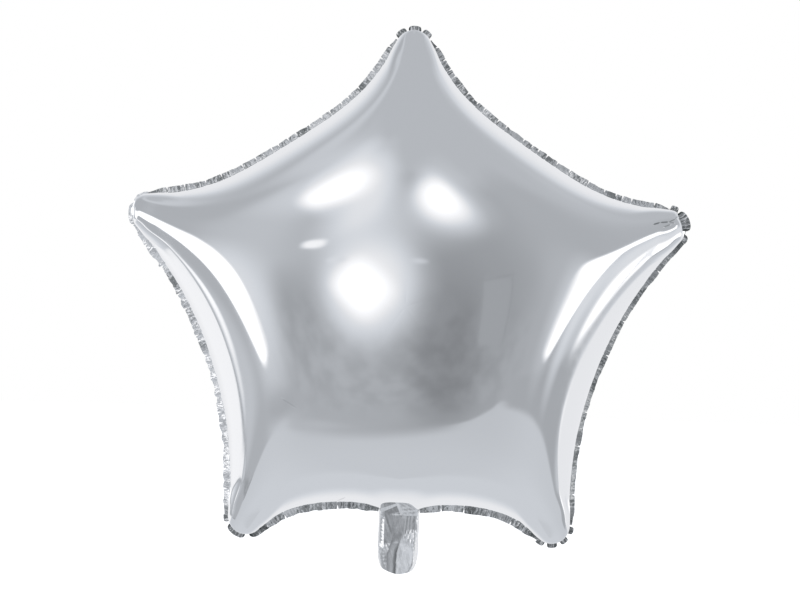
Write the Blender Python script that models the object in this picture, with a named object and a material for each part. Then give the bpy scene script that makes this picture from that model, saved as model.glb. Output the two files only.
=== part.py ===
"""Five-pointed foil balloon, inflated and standing upright in the XZ plane.

The front of the balloon looks towards -Y and the top tip points up +Z. The origin is the middle of the star,
on the plane where the front and back films are welded together. Sizes are in metres.
"""
import math

import bpy
import numpy as np

# Reach of each tip from the middle of the star, tabs included, and its direction clockwise from the top.
TIPS = {
    "top": (0.2207, math.radians(0.0)),
    "right": (0.2330, math.radians(71.6)),
    "lower_right": (0.2247, math.radians(144.55)),
    "lower_left": (0.2247, math.radians(215.45)),
    "left": (0.2330, math.radians(288.4)),
}
TIP_ROUND = 0.0145
HALF_DEPTH = 0.095
ARM_FULLNESS = 0.15

# The edge that follows each tip, clockwise: its name, how far its middle lies inside the line that joins the
# centres of the two round tips, the angle at which it leaves them, and the lengths of its two curve handles
# as shares of half the edge.
UPPER_EDGE = (0.0113, math.radians(28.0), (0.40, 0.50))
SIDE_EDGE = (0.0106, math.radians(21.0), (0.33, 0.40))
LOW_EDGE = (0.0134, math.radians(42.0), (0.30, 0.60))
EDGES = {
    "top": ("upper_right", *UPPER_EDGE),
    "right": ("right", *SIDE_EDGE),
    "lower_right": ("lower", *LOW_EDGE),
    "lower_left": ("left", *SIDE_EDGE),
    "left": ("upper_left", *UPPER_EDGE),
}
NECK_BOW = 0.0075
NECK_BOW_SPREAD = 0.022

FILM = 0.0010
GAP = 0.0003

# The weld flange: its width, the height of its crimps at the free edge and at the weld, its share of the
# width beside a tip, and the shares of its length over which it widens from its first and its last end.
SEAM_WIDTH = 0.0054
SEAM_CRIMP = 0.0011
INNER_CRIMP_SHARE = 0.35
SEAM_PINCH = 0.45
PINCH_LENGTHS = (0.12, 0.12)
NECK_SIDE_PINCH_LENGTHS = {"seam_lower_right": (0.2, 0.0), "seam_lower_left": (0.0, 0.2)}

TAB_WIDTH = 0.0040
TAB_NOTCH = 0.35
TAB_FOLD = 0.0016
TAB_LOBES = 3

NECK_HALF_WIDTH = 0.0157
NECK_BOTTOM = -0.2103
NECK_END_HALF_WIDTH = 0.0068
NECK_END_ROUND = 0.0180
NECK_MOUTH = 0.0036
NECK_WELD_SHARE = 0.80
NECK_FLAT_SHARE = 0.40
NECK_STRAIGHT_SHARE = 0.6
NECK_DENT = 0.30
NECK_DENT_SIZE = (0.018, 0.014)
NECK_OPENING_REACH = 0.010

VALVE_HALF_WIDTH = 0.0048
VALVE_TOP = -0.1320
VALVE_BOTTOM = -0.1900
VALVE_FILM = 0.0008

# Steps along the curves
TIP_STEPS = 6
EDGE_STEPS = 12
LOW_EDGE_STEPS = 6
FINE_STEPS = 60
RINGS = 9
SEAM_SPLITS = 4
TAB_SPLITS = 3
NECK_STEPS = 8

# The membrane's sources: how far outside the weld they lie, how finely the weld is sampled for them, and the
# share of the strongest mode below which a mode is left out of their strengths.
SOURCE_DISTANCE = 0.012
WELD_SPLITS = 2
WEAKEST_MODE = 1e-9


def unit(vector):
    """A vector, or each row of an array of vectors, at length one."""
    vector = np.asarray(vector, dtype=float)
    return vector / np.linalg.norm(vector, axis=-1, keepdims=True)


def tip_centre(name):
    """Centre of a tip's rounding, as x and z."""
    reach, angle = TIPS[name]
    distance = reach - TAB_WIDTH - TIP_ROUND
    return distance * np.array((math.sin(angle), math.cos(angle)))


def edge_frame(first, second):
    """Middle of the line between two tip centres, its direction, and the direction into the star."""
    start = tip_centre(first)
    end = tip_centre(second)
    middle = (start + end) / 2
    along = unit(end - start)
    inward = np.array((along[1], -along[0]))
    if np.dot(inward, middle) > 0:
        inward = -inward
    return middle, along, inward


def tangent_normals(first, second):
    """Outward normals where the edge between two tips leaves the first and meets the second."""
    angle = EDGES[first][2]
    along, inward = edge_frame(first, second)[1:]
    leaving = along * math.sin(angle) - inward * math.cos(angle)
    meeting = -along * math.sin(angle) - inward * math.cos(angle)
    return leaving, meeting


def bezier(points, steps):
    """Points of a cubic curve with four control points, at even steps of its parameter."""
    t = np.linspace(0, 1, steps + 1)[:, None]
    a, b, c, d = points
    return (1 - t) ** 3 * a + 3 * (1 - t) ** 2 * t * b + 3 * (1 - t) * t ** 2 * c + t ** 3 * d


def edge_points(first, second, steps):
    """The concave edge between two tips, as two mirrored cubic curves that meet in its middle."""
    name, dip, angle, handles = EDGES[first]
    middle, along, inward = edge_frame(first, second)
    leaving, meeting = tangent_normals(first, second)
    start = tip_centre(first) + TIP_ROUND * leaving
    end = tip_centre(second) + TIP_ROUND * meeting
    low = middle + inward * dip
    half = np.dot(low - start, along)
    down = along * math.cos(angle) + inward * math.sin(angle)
    up = along * math.cos(angle) - inward * math.sin(angle)
    first_half = (start, start + down * half * handles[0], low - along * half * handles[1], low)
    second_half = (low, low + along * half * handles[1], end - up * half * handles[0], end)
    points = np.concatenate((bezier(first_half, steps)[:-1], bezier(second_half, steps)))
    if name == "lower":
        points[:, 1] -= NECK_BOW * np.exp(-((points[:, 0] / NECK_BOW_SPREAD) ** 2))
    return points


def tip_points(previous, name, following, steps):
    """The round end of a tip, clockwise between its two neighbouring edges."""
    arriving = tangent_normals(previous, name)[1]
    leaving = tangent_normals(name, following)[0]
    start = math.atan2(arriving[0], arriving[1])
    end = math.atan2(leaving[0], leaving[1])
    if end < start:
        end += 2 * math.pi
    angle = np.linspace(start, end, steps + 1)
    return tip_centre(name) + TIP_ROUND * np.stack((np.sin(angle), np.cos(angle)), axis=1)


def neck_stations():
    """Places across the neck, from its right edge to its left, where its cross-section bends."""
    shares = np.array((1.0, NECK_WELD_SHARE, NECK_FLAT_SHARE))
    right = NECK_HALF_WIDTH * shares
    return np.concatenate((right, -right[::-1]))


def low_edge_parts(steps):
    """The bottom edge as three stretches: up to the neck, across it, and on to the other tip."""
    fine = edge_points("lower_right", "lower_left", FINE_STEPS)
    reach = fine[0, 0]
    right = np.linspace(0, 1, steps + 1)
    right = reach + (NECK_HALF_WIDTH - reach) * right
    stretches = (right, neck_stations(), -right[::-1])
    return [np.stack((x, np.interp(x, fine[::-1, 0], fine[::-1, 1])), axis=1) for x in stretches]


def outline():
    """Named stretches of the weld line, clockwise from the top tip, as x and z points with shared ends."""
    names = list(TIPS)
    stretches = {}
    for index, name in enumerate(names):
        previous = names[index - 1]
        following = names[(index + 1) % len(names)]
        stretches["tip_" + name] = tip_points(previous, name, following, TIP_STEPS)
        if name == "lower_right":
            right, neck, left = low_edge_parts(LOW_EDGE_STEPS)
            stretches["seam_lower_right"] = right
            stretches["neck"] = neck
            stretches["seam_lower_left"] = left
        else:
            stretches["seam_" + EDGES[name][0]] = edge_points(name, following, EDGE_STEPS // 2)
    return stretches


def outward(points, closed):
    """Outward normals along a clockwise run of x and z points."""
    if closed:
        step = np.roll(points, -1, axis=0) - np.roll(points, 1, axis=0)
    else:
        step = np.gradient(points, axis=0)
    step = unit(step)
    return np.stack((-step[:, 1], step[:, 0]), axis=1)


class Membrane:
    """Height of the inflated film above the weld plane.

    A stretched membrane that is blown up over the star's outline has the height -r*r plus a harmonic part.
    The harmonic part is a constant plus the logarithm of the distance to each of a ring of sources outside
    the outline, with strengths that bring the membrane to zero all along the weld. The film's height is the
    square root of that membrane, so that it leaves the weld at a right angle, as inflated film does.
    """

    def __init__(self, weld, neck_level):
        rim = split(weld, WELD_SPLITS)
        self.neck_level = neck_level
        self.sources = (rim + outward(rim, True) * SOURCE_DISTANCE)[::WELD_SPLITS]
        square = (rim ** 2).sum(axis=1)
        self.strengths = np.linalg.lstsq(self.terms(rim), square, rcond=WEAKEST_MODE)[0]
        self.middle = self.raw(np.zeros((1, 2)))[0]

    def terms(self, points):
        """The logarithm of the distance to every source, and a one for the constant."""
        away = points[:, None, :] - self.sources[None, :, :]
        logs = np.log(np.linalg.norm(away, axis=2))
        return np.concatenate((logs, np.ones((len(points), 1))), axis=1)

    def raw(self, points):
        """The membrane's own height, before its root is taken."""
        return self.terms(points) @ self.strengths - (points ** 2).sum(axis=1)

    def height(self, points):
        """Height of the film, with the dent that the neck draws into it."""
        share = np.clip(self.raw(points) / self.middle, 0.0, None)
        film = HALF_DEPTH * np.sqrt(share) * (1 + ARM_FULLNESS * (1 - share))
        wide, tall = NECK_DENT_SIZE
        up = (points[:, 1] - self.neck_level) / tall
        dent = NECK_DENT * np.exp(-((points[:, 0] / wide) ** 4) - up ** 2)
        return film * (1 - dent)


def mouth(across, half_width):
    """Half the opening between the two neck films: flat in the middle, closed at the welded margins."""
    weld = NECK_WELD_SHARE * half_width
    flat = NECK_FLAT_SHARE * half_width
    return NECK_MOUTH * np.clip((weld - np.abs(across)) / (weld - flat), 0.0, 1.0)


def mesh_object(name, vertices, faces, material):
    """A closed solid from its points and faces."""
    mesh = bpy.data.meshes.new(name)
    mesh.from_pydata(np.asarray(vertices).tolist(), [], faces)
    mesh.validate()
    mesh.materials.append(material)
    mesh.shade_smooth()
    mesh.set_sharp_from_angle(angle=math.radians(50.0))
    solid = bpy.data.objects.new(name, mesh)
    bpy.context.scene.collection.objects.link(solid)
    return solid


def grid_faces(rows, columns, start, flip):
    """Quads of a grid of points stored row by row."""
    faces = []
    for row in range(rows - 1):
        for column in range(columns - 1):
            a = start + row * columns + column
            quad = (a, a + 1, a + columns + 1, a + columns)
            faces.append(quad[::-1] if flip else quad)
    return faces


def sheet(name, front, back, material):
    """A solid sheet between two grids of points; the back grid lies on the +Y side of the front one."""
    rows, columns = front.shape[:2]
    count = rows * columns
    vertices = np.concatenate((front.reshape(-1, 3), back.reshape(-1, 3)))
    border = list(range(columns))
    border += [row * columns + columns - 1 for row in range(1, rows)]
    border += [(rows - 1) * columns + column for column in range(columns - 2, -1, -1)]
    border += [row * columns for row in range(rows - 2, 0, -1)]
    across = front[0, -1] - front[0, 0]
    down = front[-1, 0] - front[0, 0]
    flip = np.cross(across, down)[1] > 0
    faces = grid_faces(rows, columns, 0, flip)
    faces += grid_faces(rows, columns, count, not flip)
    for here, there in zip(border, border[1:] + border[:1]):
        quad = (there, here, here + count, there + count)
        faces.append(quad[::-1] if flip else quad)
    return mesh_object(name, vertices, faces, material)


def panel(name, rim, membrane, side, material):
    """One inflated film: rings of points from the middle of the star out to the weld line.

    Each ring is the outline at a share of its size. The shares bunch towards the weld, where the film is
    steepest. The inner skin follows the outer one a film's thickness inside it.
    """
    shares = np.sin(np.linspace(0, math.pi / 2, RINGS + 1))[1:]
    flat = (shares[:, None, None] * rim[None]).reshape(-1, 2)
    height = membrane.height(flat).reshape(RINGS, len(rim))
    height[-1] = 0.0
    flat = flat.reshape(RINGS, len(rim), 2)
    near_neck = np.exp(-(((flat[..., 1] - membrane.neck_level) / NECK_OPENING_REACH) ** 2))
    opening = mouth(flat[..., 0], NECK_HALF_WIDTH) * near_neck
    height = np.sqrt(height ** 2 + opening ** 2)
    outer = np.stack((flat[..., 0], height, flat[..., 1]), axis=2)
    around = np.roll(outer, -1, axis=1) - np.roll(outer, 1, axis=1)
    radial = np.gradient(outer, axis=0)
    normal = unit(np.cross(around, radial))
    normal *= np.sign(normal[..., 1:2] + 1e-12)
    edge = outward(rim, True)
    normal[-1] = np.stack((edge[:, 0], np.zeros(len(rim)), edge[:, 1]), axis=1)
    inner = outer - FILM * normal
    inner[-1, :, 1] = outer[-1, :, 1]
    top = np.array(((0.0, HALF_DEPTH, 0.0),))
    vertices = np.concatenate((top, outer.reshape(-1, 3), top - (0, FILM, 0), inner.reshape(-1, 3)))
    vertices[:, 1] += GAP / 2
    vertices[:, 1] *= side
    count = len(rim)
    skin = 1 + RINGS * count
    faces = []
    for start, inside in ((0, False), (skin, True)):
        flip = inside == (side < 0)
        for column in range(count):
            beside = (column + 1) % count
            triangle = (start, start + 1 + beside, start + 1 + column)
            faces.append(triangle[::-1] if flip else triangle)
            for ring in range(RINGS - 1):
                a = start + 1 + ring * count
                quad = (a + column, a + beside, a + count + beside, a + count + column)
                faces.append(quad[::-1] if flip else quad)
    last = 1 + (RINGS - 1) * count
    for column in range(count):
        beside = (column + 1) % count
        quad = (last + column, last + beside, skin + last + beside, skin + last + column)
        faces.append(quad if side < 0 else quad[::-1])
    return mesh_object(name, vertices, faces, material)


def split(points, pieces):
    """Points with every straight step cut into equal pieces."""
    share = np.arange(pieces)[:, None, None] / pieces
    inner = points[None, :-1] * (1 - share) + points[None, 1:] * share
    inner = inner.transpose(1, 0, 2).reshape(-1, 2)
    return np.concatenate((inner, points[-1:]))


def strip(name, base, normals, width, wave, material):
    """A thin strip that stands out from the weld line, crimped to and fro, most of all at its free edge."""
    inner = base + normals * GAP
    outer = base + normals * (GAP + width[:, None])
    half = FILM / 2
    rows = []
    for run, sway in ((inner, wave * INNER_CRIMP_SHARE), (outer, wave)):
        rows.append(np.stack((run[:, 0], sway, run[:, 1]), axis=1))
    centre = np.stack(rows)
    front = centre - (0, half, 0)
    back = centre + (0, half, 0)
    return sheet(name, front, back, material)


def trim_ends(points):
    """Points with each end drawn back along the run, so that neighbouring pieces keep their gap."""
    points = points.copy()
    points[0] += unit(points[1] - points[0]) * GAP
    points[-1] += unit(points[-2] - points[-1]) * GAP
    return points


def seam(name, points, material):
    """The crimped weld flange along one edge; it narrows to a pinch beside each tip."""
    base = split(points, SEAM_SPLITS)
    normals = outward(base, False)
    base = trim_ends(base)
    share = np.linspace(0, 1, len(base))
    pinch = np.ones(len(base))
    for length, way in zip(NECK_SIDE_PINCH_LENGTHS.get(name, PINCH_LENGTHS), (share, 1 - share)):
        if length:
            pinch = np.minimum(pinch, way / length)
    width = (SEAM_WIDTH - GAP) * (SEAM_PINCH + (1 - SEAM_PINCH) * pinch)
    wave = SEAM_CRIMP * np.where(np.arange(len(base)) % 2, 1.0, -1.0)
    return strip(name, base, normals, width, wave, material)


def tip_tabs(name, points, material):
    """The gathered weld round a tip: a short strip with three scalloped, folded lobes."""
    base = split(points, TAB_SPLITS)
    normals = outward(base, False)
    base = trim_ends(base)
    share = np.linspace(0, 1, len(base))
    lobe = np.abs(np.sin(math.pi * TAB_LOBES * share))
    width = (TAB_WIDTH - GAP) * (TAB_NOTCH + (1 - TAB_NOTCH) * np.sqrt(lobe))
    wave = TAB_FOLD * np.sin(math.pi * TAB_LOBES * share)
    return strip(name, base, normals, width, wave, material)


def neck_half_width(z):
    """Half the neck's width at a height: straight sides, then a rounded end."""
    into = np.clip((NECK_BOTTOM + NECK_END_ROUND - z) / NECK_END_ROUND, 0, 1)
    narrow = NECK_HALF_WIDTH - NECK_END_HALF_WIDTH
    return NECK_HALF_WIDTH - narrow * (1 - np.sqrt(1 - into ** 2))


def neck_film(name, rim, side, material):
    """One of the neck's two films, from the weld line down to the open mouth."""
    across = rim[:, 0] / NECK_HALF_WIDTH
    top = rim[:, 1] - GAP
    straight = np.linspace(0, NECK_STRAIGHT_SHARE, NECK_STEPS // 2)
    quarter = np.linspace(0, math.pi / 2, NECK_STEPS // 2 + 1)[1:]
    rounded = NECK_STRAIGHT_SHARE + (1 - NECK_STRAIGHT_SHARE) * np.sin(quarter)
    share = np.concatenate((straight, rounded))[:, None]
    z = top[None] + (NECK_BOTTOM - top[None]) * share
    half = neck_half_width(z)
    x = across[None] * half
    inside = GAP / 2 + mouth(x, half)
    inner = np.stack((x, side * inside, z), axis=2)
    outer = np.stack((x, side * (inside + FILM), z), axis=2)
    front, back = (outer, inner) if side < 0 else (inner, outer)
    return sheet(name, front, back, material)


def valve_sleeve(material):
    """The flat inner sleeve that closes itself; it is welded to the back film of the neck."""
    seat = GAP / 2 + NECK_MOUTH - GAP
    front = np.array([[(x, seat - VALVE_FILM, z) for x in (-VALVE_HALF_WIDTH, VALVE_HALF_WIDTH)]
                      for z in (VALVE_TOP, VALVE_BOTTOM)])
    back = front + (0, VALVE_FILM, 0)
    return sheet("valve_sleeve", front, back, material)


def foil(name, colour, roughness, metallic):
    """A metallised film with its colour, roughness and metallic value."""
    material = bpy.data.materials.new(name)
    material.use_nodes = True
    shader = material.node_tree.nodes["Principled BSDF"]
    shader.inputs["Base Color"].default_value = (*colour, 1.0)
    shader.inputs["Roughness"].default_value = roughness
    shader.inputs["Metallic"].default_value = metallic
    return material


for old in list(bpy.data.objects):
    bpy.data.objects.remove(old)

stretches = outline()
weld = np.concatenate([points[:-1] for points in stretches.values()])
membrane = Membrane(weld, float(stretches["neck"][:, 1].min()))

front_foil = foil("front foil", (0.78, 0.79, 0.81), 0.12, 1.0)
back_foil = foil("back foil", (0.76, 0.77, 0.80), 0.14, 1.0)
panel("front_panel", weld, membrane, -1.0, front_foil)
panel("back_panel", weld, membrane, 1.0, back_foil)

seam_foil = foil("seam foil", (0.66, 0.68, 0.70), 0.22, 1.0)
tab_foil = foil("tab foil", (0.64, 0.66, 0.68), 0.24, 1.0)
for key, points in stretches.items():
    if key.startswith("seam_"):
        seam(key, points, seam_foil)
    if key.startswith("tip_"):
        tip_tabs(key, points, tab_foil)

neck_foil = foil("neck foil", (0.70, 0.72, 0.74), 0.18, 1.0)
neck_film("neck_front", stretches["neck"], -1.0, neck_foil)
neck_film("neck_back", stretches["neck"], 1.0, neck_foil)
valve_sleeve(foil("valve film", (0.86, 0.87, 0.88), 0.30, 0.0))
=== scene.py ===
"""Looks of a five-pointed foil balloon, built around its packed frame.

The balloon is two mirror films welded along a star's outline and blown up, with a crimped weld flange along
each edge, gathered tabs round each tip, and a flat neck with its valve at the bottom. The front looks towards
-Y, the top tip points up +Z, and the weld lies in the XZ plane. Sizes are in metres.
"""

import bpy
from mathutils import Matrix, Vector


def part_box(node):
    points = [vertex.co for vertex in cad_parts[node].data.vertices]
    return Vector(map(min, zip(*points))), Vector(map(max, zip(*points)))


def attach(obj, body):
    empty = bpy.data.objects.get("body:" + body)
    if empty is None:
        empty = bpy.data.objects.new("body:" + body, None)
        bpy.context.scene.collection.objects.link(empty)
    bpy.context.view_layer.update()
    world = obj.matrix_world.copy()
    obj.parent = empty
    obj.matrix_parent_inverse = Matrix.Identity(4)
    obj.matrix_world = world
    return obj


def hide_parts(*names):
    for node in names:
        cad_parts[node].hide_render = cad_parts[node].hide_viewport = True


bl_info = {
    "name": "Foil Star Balloon",
    "version": (1, 0, 0),
    "blender": (4, 5, 0),
    "location": "View3D > Sidebar > Foil Balloon",
    "description": "Builds a five-pointed foil balloon: its films, crimped seams, tip tabs, neck and studio",
    "category": "Object",
}

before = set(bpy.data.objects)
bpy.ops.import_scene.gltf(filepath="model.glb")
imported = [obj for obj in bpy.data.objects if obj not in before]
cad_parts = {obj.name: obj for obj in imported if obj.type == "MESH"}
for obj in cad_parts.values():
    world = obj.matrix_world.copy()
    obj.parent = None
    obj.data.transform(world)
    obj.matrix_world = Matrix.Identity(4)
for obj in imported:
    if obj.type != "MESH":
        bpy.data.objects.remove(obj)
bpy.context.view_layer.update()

import math
from collections import namedtuple

import bpy
import numpy as np
from bpy.props import FloatProperty, FloatVectorProperty, IntProperty, PointerProperty
from mathutils import Matrix, Vector

BODY = "root"

TIP_NAMES = ("top", "right", "lower_right", "lower_left", "left")
EDGE_AFTER = {
    "top": "upper_right",
    "right": "right",
    "lower_right": "lower",
    "lower_left": "left",
    "left": "upper_left",
}
# Width of the tabs that the tips' reaches include
TAB_ROOM = 0.0040
# Edges of a smooth mesh that meet at more than this stay sharp
SHARP_ANGLE = math.radians(50.0)


class BalloonOutline(bpy.types.PropertyGroup):
    """The star that the two films are cut to, as the weld line shows it."""

    top_reach: FloatProperty(
        name="Top reach", description="From the middle of the star to the top tip, its tabs included",
        default=0.2207, unit="LENGTH")
    side_reach: FloatProperty(
        name="Side reach", description="From the middle of the star to the left and right tips",
        default=0.2330, unit="LENGTH")
    low_reach: FloatProperty(
        name="Lower reach", description="From the middle of the star to the two lower tips",
        default=0.2247, unit="LENGTH")
    side_turn: FloatProperty(
        name="Side turn", description="Angle from the top tip to the left and right tips",
        default=math.radians(71.6), subtype="ANGLE")
    low_turn: FloatProperty(
        name="Lower turn", description="Angle from the top tip to the two lower tips",
        default=math.radians(144.55), subtype="ANGLE")
    tip_round: FloatProperty(
        name="Tip rounding", description="Radius of the weld round each tip", default=0.0145, unit="LENGTH")
    upper_dip: FloatProperty(
        name="Upper dip", default=0.0113, unit="LENGTH",
        description="How far the middle of an upper edge lies inside the line between its tips")
    side_dip: FloatProperty(
        name="Side dip", description="The same for the left and right edges", default=0.0106, unit="LENGTH")
    low_dip: FloatProperty(
        name="Lower dip", description="The same for the bottom edge", default=0.0134, unit="LENGTH")
    edge_angles: FloatVectorProperty(
        name="Edge angles", description="Angles at which the upper, side and bottom edges leave their tips",
        default=(math.radians(28.0), math.radians(21.0), math.radians(42.0)), size=3, subtype="EULER")
    start_handles: FloatVectorProperty(
        name="Start handles", default=(0.40, 0.33, 0.30), size=3,
        description="Handles at the tips, as shares of half the upper, side and bottom edge")
    middle_handles: FloatVectorProperty(
        name="Middle handles", description="Handles at the middle of the upper, side and bottom edge",
        default=(0.50, 0.40, 0.60), size=3)
    neck_bow: FloatProperty(
        name="Neck bow", description="How far the bottom edge hangs down where the neck leaves it",
        default=0.0075, unit="LENGTH")
    neck_bow_spread: FloatProperty(
        name="Neck bow spread", description="Half the width of that bow", default=0.022, unit="LENGTH")


class BalloonFilm(bpy.types.PropertyGroup):
    """The blown-up film of the two panels."""

    half_depth: FloatProperty(
        name="Half depth", description="From the weld to the middle of one panel", default=0.095,
        unit="LENGTH")
    arm_fullness: FloatProperty(
        name="Arm fullness", description="How much rounder the arms stand than the middle", default=0.15)
    thickness: FloatProperty(
        name="Film", description="Thickness of a film's wall", default=0.0010, unit="LENGTH")
    gap: FloatProperty(
        name="Gap", description="Room between neighbouring pieces", default=0.0003, unit="LENGTH")
    neck_dent: FloatProperty(
        name="Neck dent", description="Share by which the neck draws the panel in", default=0.30)
    root_roll: FloatProperty(
        name="Root roll", default=0.0006, unit="LENGTH",
        description="How far in from the neck's root the film rolls over to its full height")


class BalloonSeams(bpy.types.PropertyGroup):
    """The crimped weld flange along the edges, and the gathered tabs round the tips."""

    width: FloatProperty(
        name="Seam width", description="Width of the weld flange", default=0.0054, unit="LENGTH")
    tab_width: FloatProperty(
        name="Tab width", description="Width of the gathered tabs round the tips", default=0.0042,
        unit="LENGTH")
    film: FloatProperty(
        name="Welded film", description="Thickness of the two welded films", default=0.00022, unit="LENGTH")
    ruffle: FloatProperty(
        name="Ruffle", description="How far the flange waves to and fro", default=0.0015, unit="LENGTH")
    crimp: FloatProperty(
        name="Crimp", description="Height of the fine folds across the flange", default=0.0006, unit="LENGTH")
    seed: IntProperty(name="Seed", description="Picks where the folds lie", default=11)


class BalloonNeck(bpy.types.PropertyGroup):
    """The flat neck that the balloon is filled through."""

    half_width: FloatProperty(
        name="Half width", description="Half the width of the neck", default=0.0157, unit="LENGTH")
    bottom: FloatProperty(
        name="Bottom", description="Height of the neck's lower end", default=-0.2103, unit="LENGTH")
    end_half_width: FloatProperty(
        name="End half width", description="Half the width at the lower end", default=0.0068, unit="LENGTH")
    end_round: FloatProperty(
        name="End rounding", description="Height of the rounded lower end", default=0.0180, unit="LENGTH")
    mouth: FloatProperty(
        name="Mouth", description="Half the opening between the two films", default=0.0036, unit="LENGTH")
    root: FloatProperty(
        name="Root", description="How much deeper the neck is at its root than at its lower end",
        default=0.0022, unit="LENGTH")
    tuck: FloatProperty(
        name="Tuck", description="How far the neck's film runs on behind the panel", default=0.0014,
        unit="LENGTH")
    crumple: FloatProperty(
        name="Crumple", description="Height of the creases in the neck's film", default=0.0011, unit="LENGTH")


class BalloonFinish(bpy.types.PropertyGroup):
    """Colours and gloss of the foils."""

    foil: FloatVectorProperty(
        name="Foil", description="Colour of the mirror foil", default=(0.925, 0.930, 0.935), size=3,
        min=0.0, max=1.0, subtype="COLOR")
    foil_shadow: FloatVectorProperty(
        name="Fold shadow", description="Colour deep in the folds of the seams",
        default=(0.030, 0.045, 0.043), size=3, min=0.0, max=1.0, subtype="COLOR")
    valve: FloatVectorProperty(
        name="Valve film", description="Colour of the milky valve film", default=(0.80, 0.82, 0.84), size=3,
        min=0.0, max=1.0, subtype="COLOR")
    roughness: FloatProperty(
        name="Foil roughness", description="Roughness of the mirror foil", default=0.055, min=0.0, max=1.0)


class BalloonStudio(bpy.types.PropertyGroup):
    """Camera and floor of the studio."""

    camera_distance: FloatProperty(
        name="Camera distance", description="From the camera to the weld plane", default=2.4, unit="LENGTH")
    view_width: FloatProperty(
        name="View width", description="Width of the view in the weld plane", default=0.6288, unit="LENGTH")
    lean: FloatProperty(
        name="Lean", description="How far the balloon leans clockwise in the view",
        default=math.radians(1.8), subtype="ANGLE")
    aim_left: FloatProperty(
        name="Aim left", description="How far the view's middle lies left of the star's", default=0.0044,
        unit="LENGTH")
    aim_up: FloatProperty(
        name="Aim up", description="How far the view's middle lies above the star's", default=0.0050,
        unit="LENGTH")
    floor_drop: FloatProperty(
        name="Floor drop", description="From the middle of the balloon down to the floor", default=0.60,
        unit="LENGTH")


def unit(vector):
    """A vector, or each row of an array of vectors, at length one."""
    vector = np.asarray(vector, dtype=float)
    return vector / np.maximum(np.linalg.norm(vector, axis=-1, keepdims=True), 1e-12)


def triangle_wave(turns):
    """Straight rises and falls between -1 and 1, one of each to a turn."""
    return 1 - 4 * np.abs(turns - np.floor(turns) - 0.5)


def ease(value, low, high):
    """0 below low, 1 above high, and a smooth rise between them."""
    share = np.clip((value - low) / (high - low), 0, 1)
    return share * share * (3 - 2 * share)


def outward(points, closed):
    """Outward normals along a clockwise run of x and z points: the run's direction turned a quarter left."""
    if closed:
        step = np.roll(points, -1, axis=0) - np.roll(points, 1, axis=0)
    else:
        step = np.gradient(points, axis=0)
    step = unit(step)
    return np.stack((-step[:, 1], step[:, 0]), axis=1)


def along_run(points, count):
    """Points at even distances along a run of points, and those distances in metres."""
    lengths = np.concatenate(([0], np.cumsum(np.linalg.norm(np.diff(points, axis=0), axis=1))))
    place = np.linspace(0, lengths[-1], count)
    return np.stack([np.interp(place, lengths, points[:, axis]) for axis in (0, 1)], axis=1), place


# Where a panel ends at the neck's root: places across the neck, and heights above the ends of the neck's weld
SHOULDER = (
    (0.0157, 0.0), (0.0139, 0.0010), (0.0118, 0.0025), (0.0095, 0.0045), (0.0067, 0.0056), (0.0020, 0.0060),
    (-0.0070, 0.0059), (-0.0112, 0.0055), (-0.0134, 0.0047), (-0.0147, 0.0033), (-0.0157, 0.0))


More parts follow.
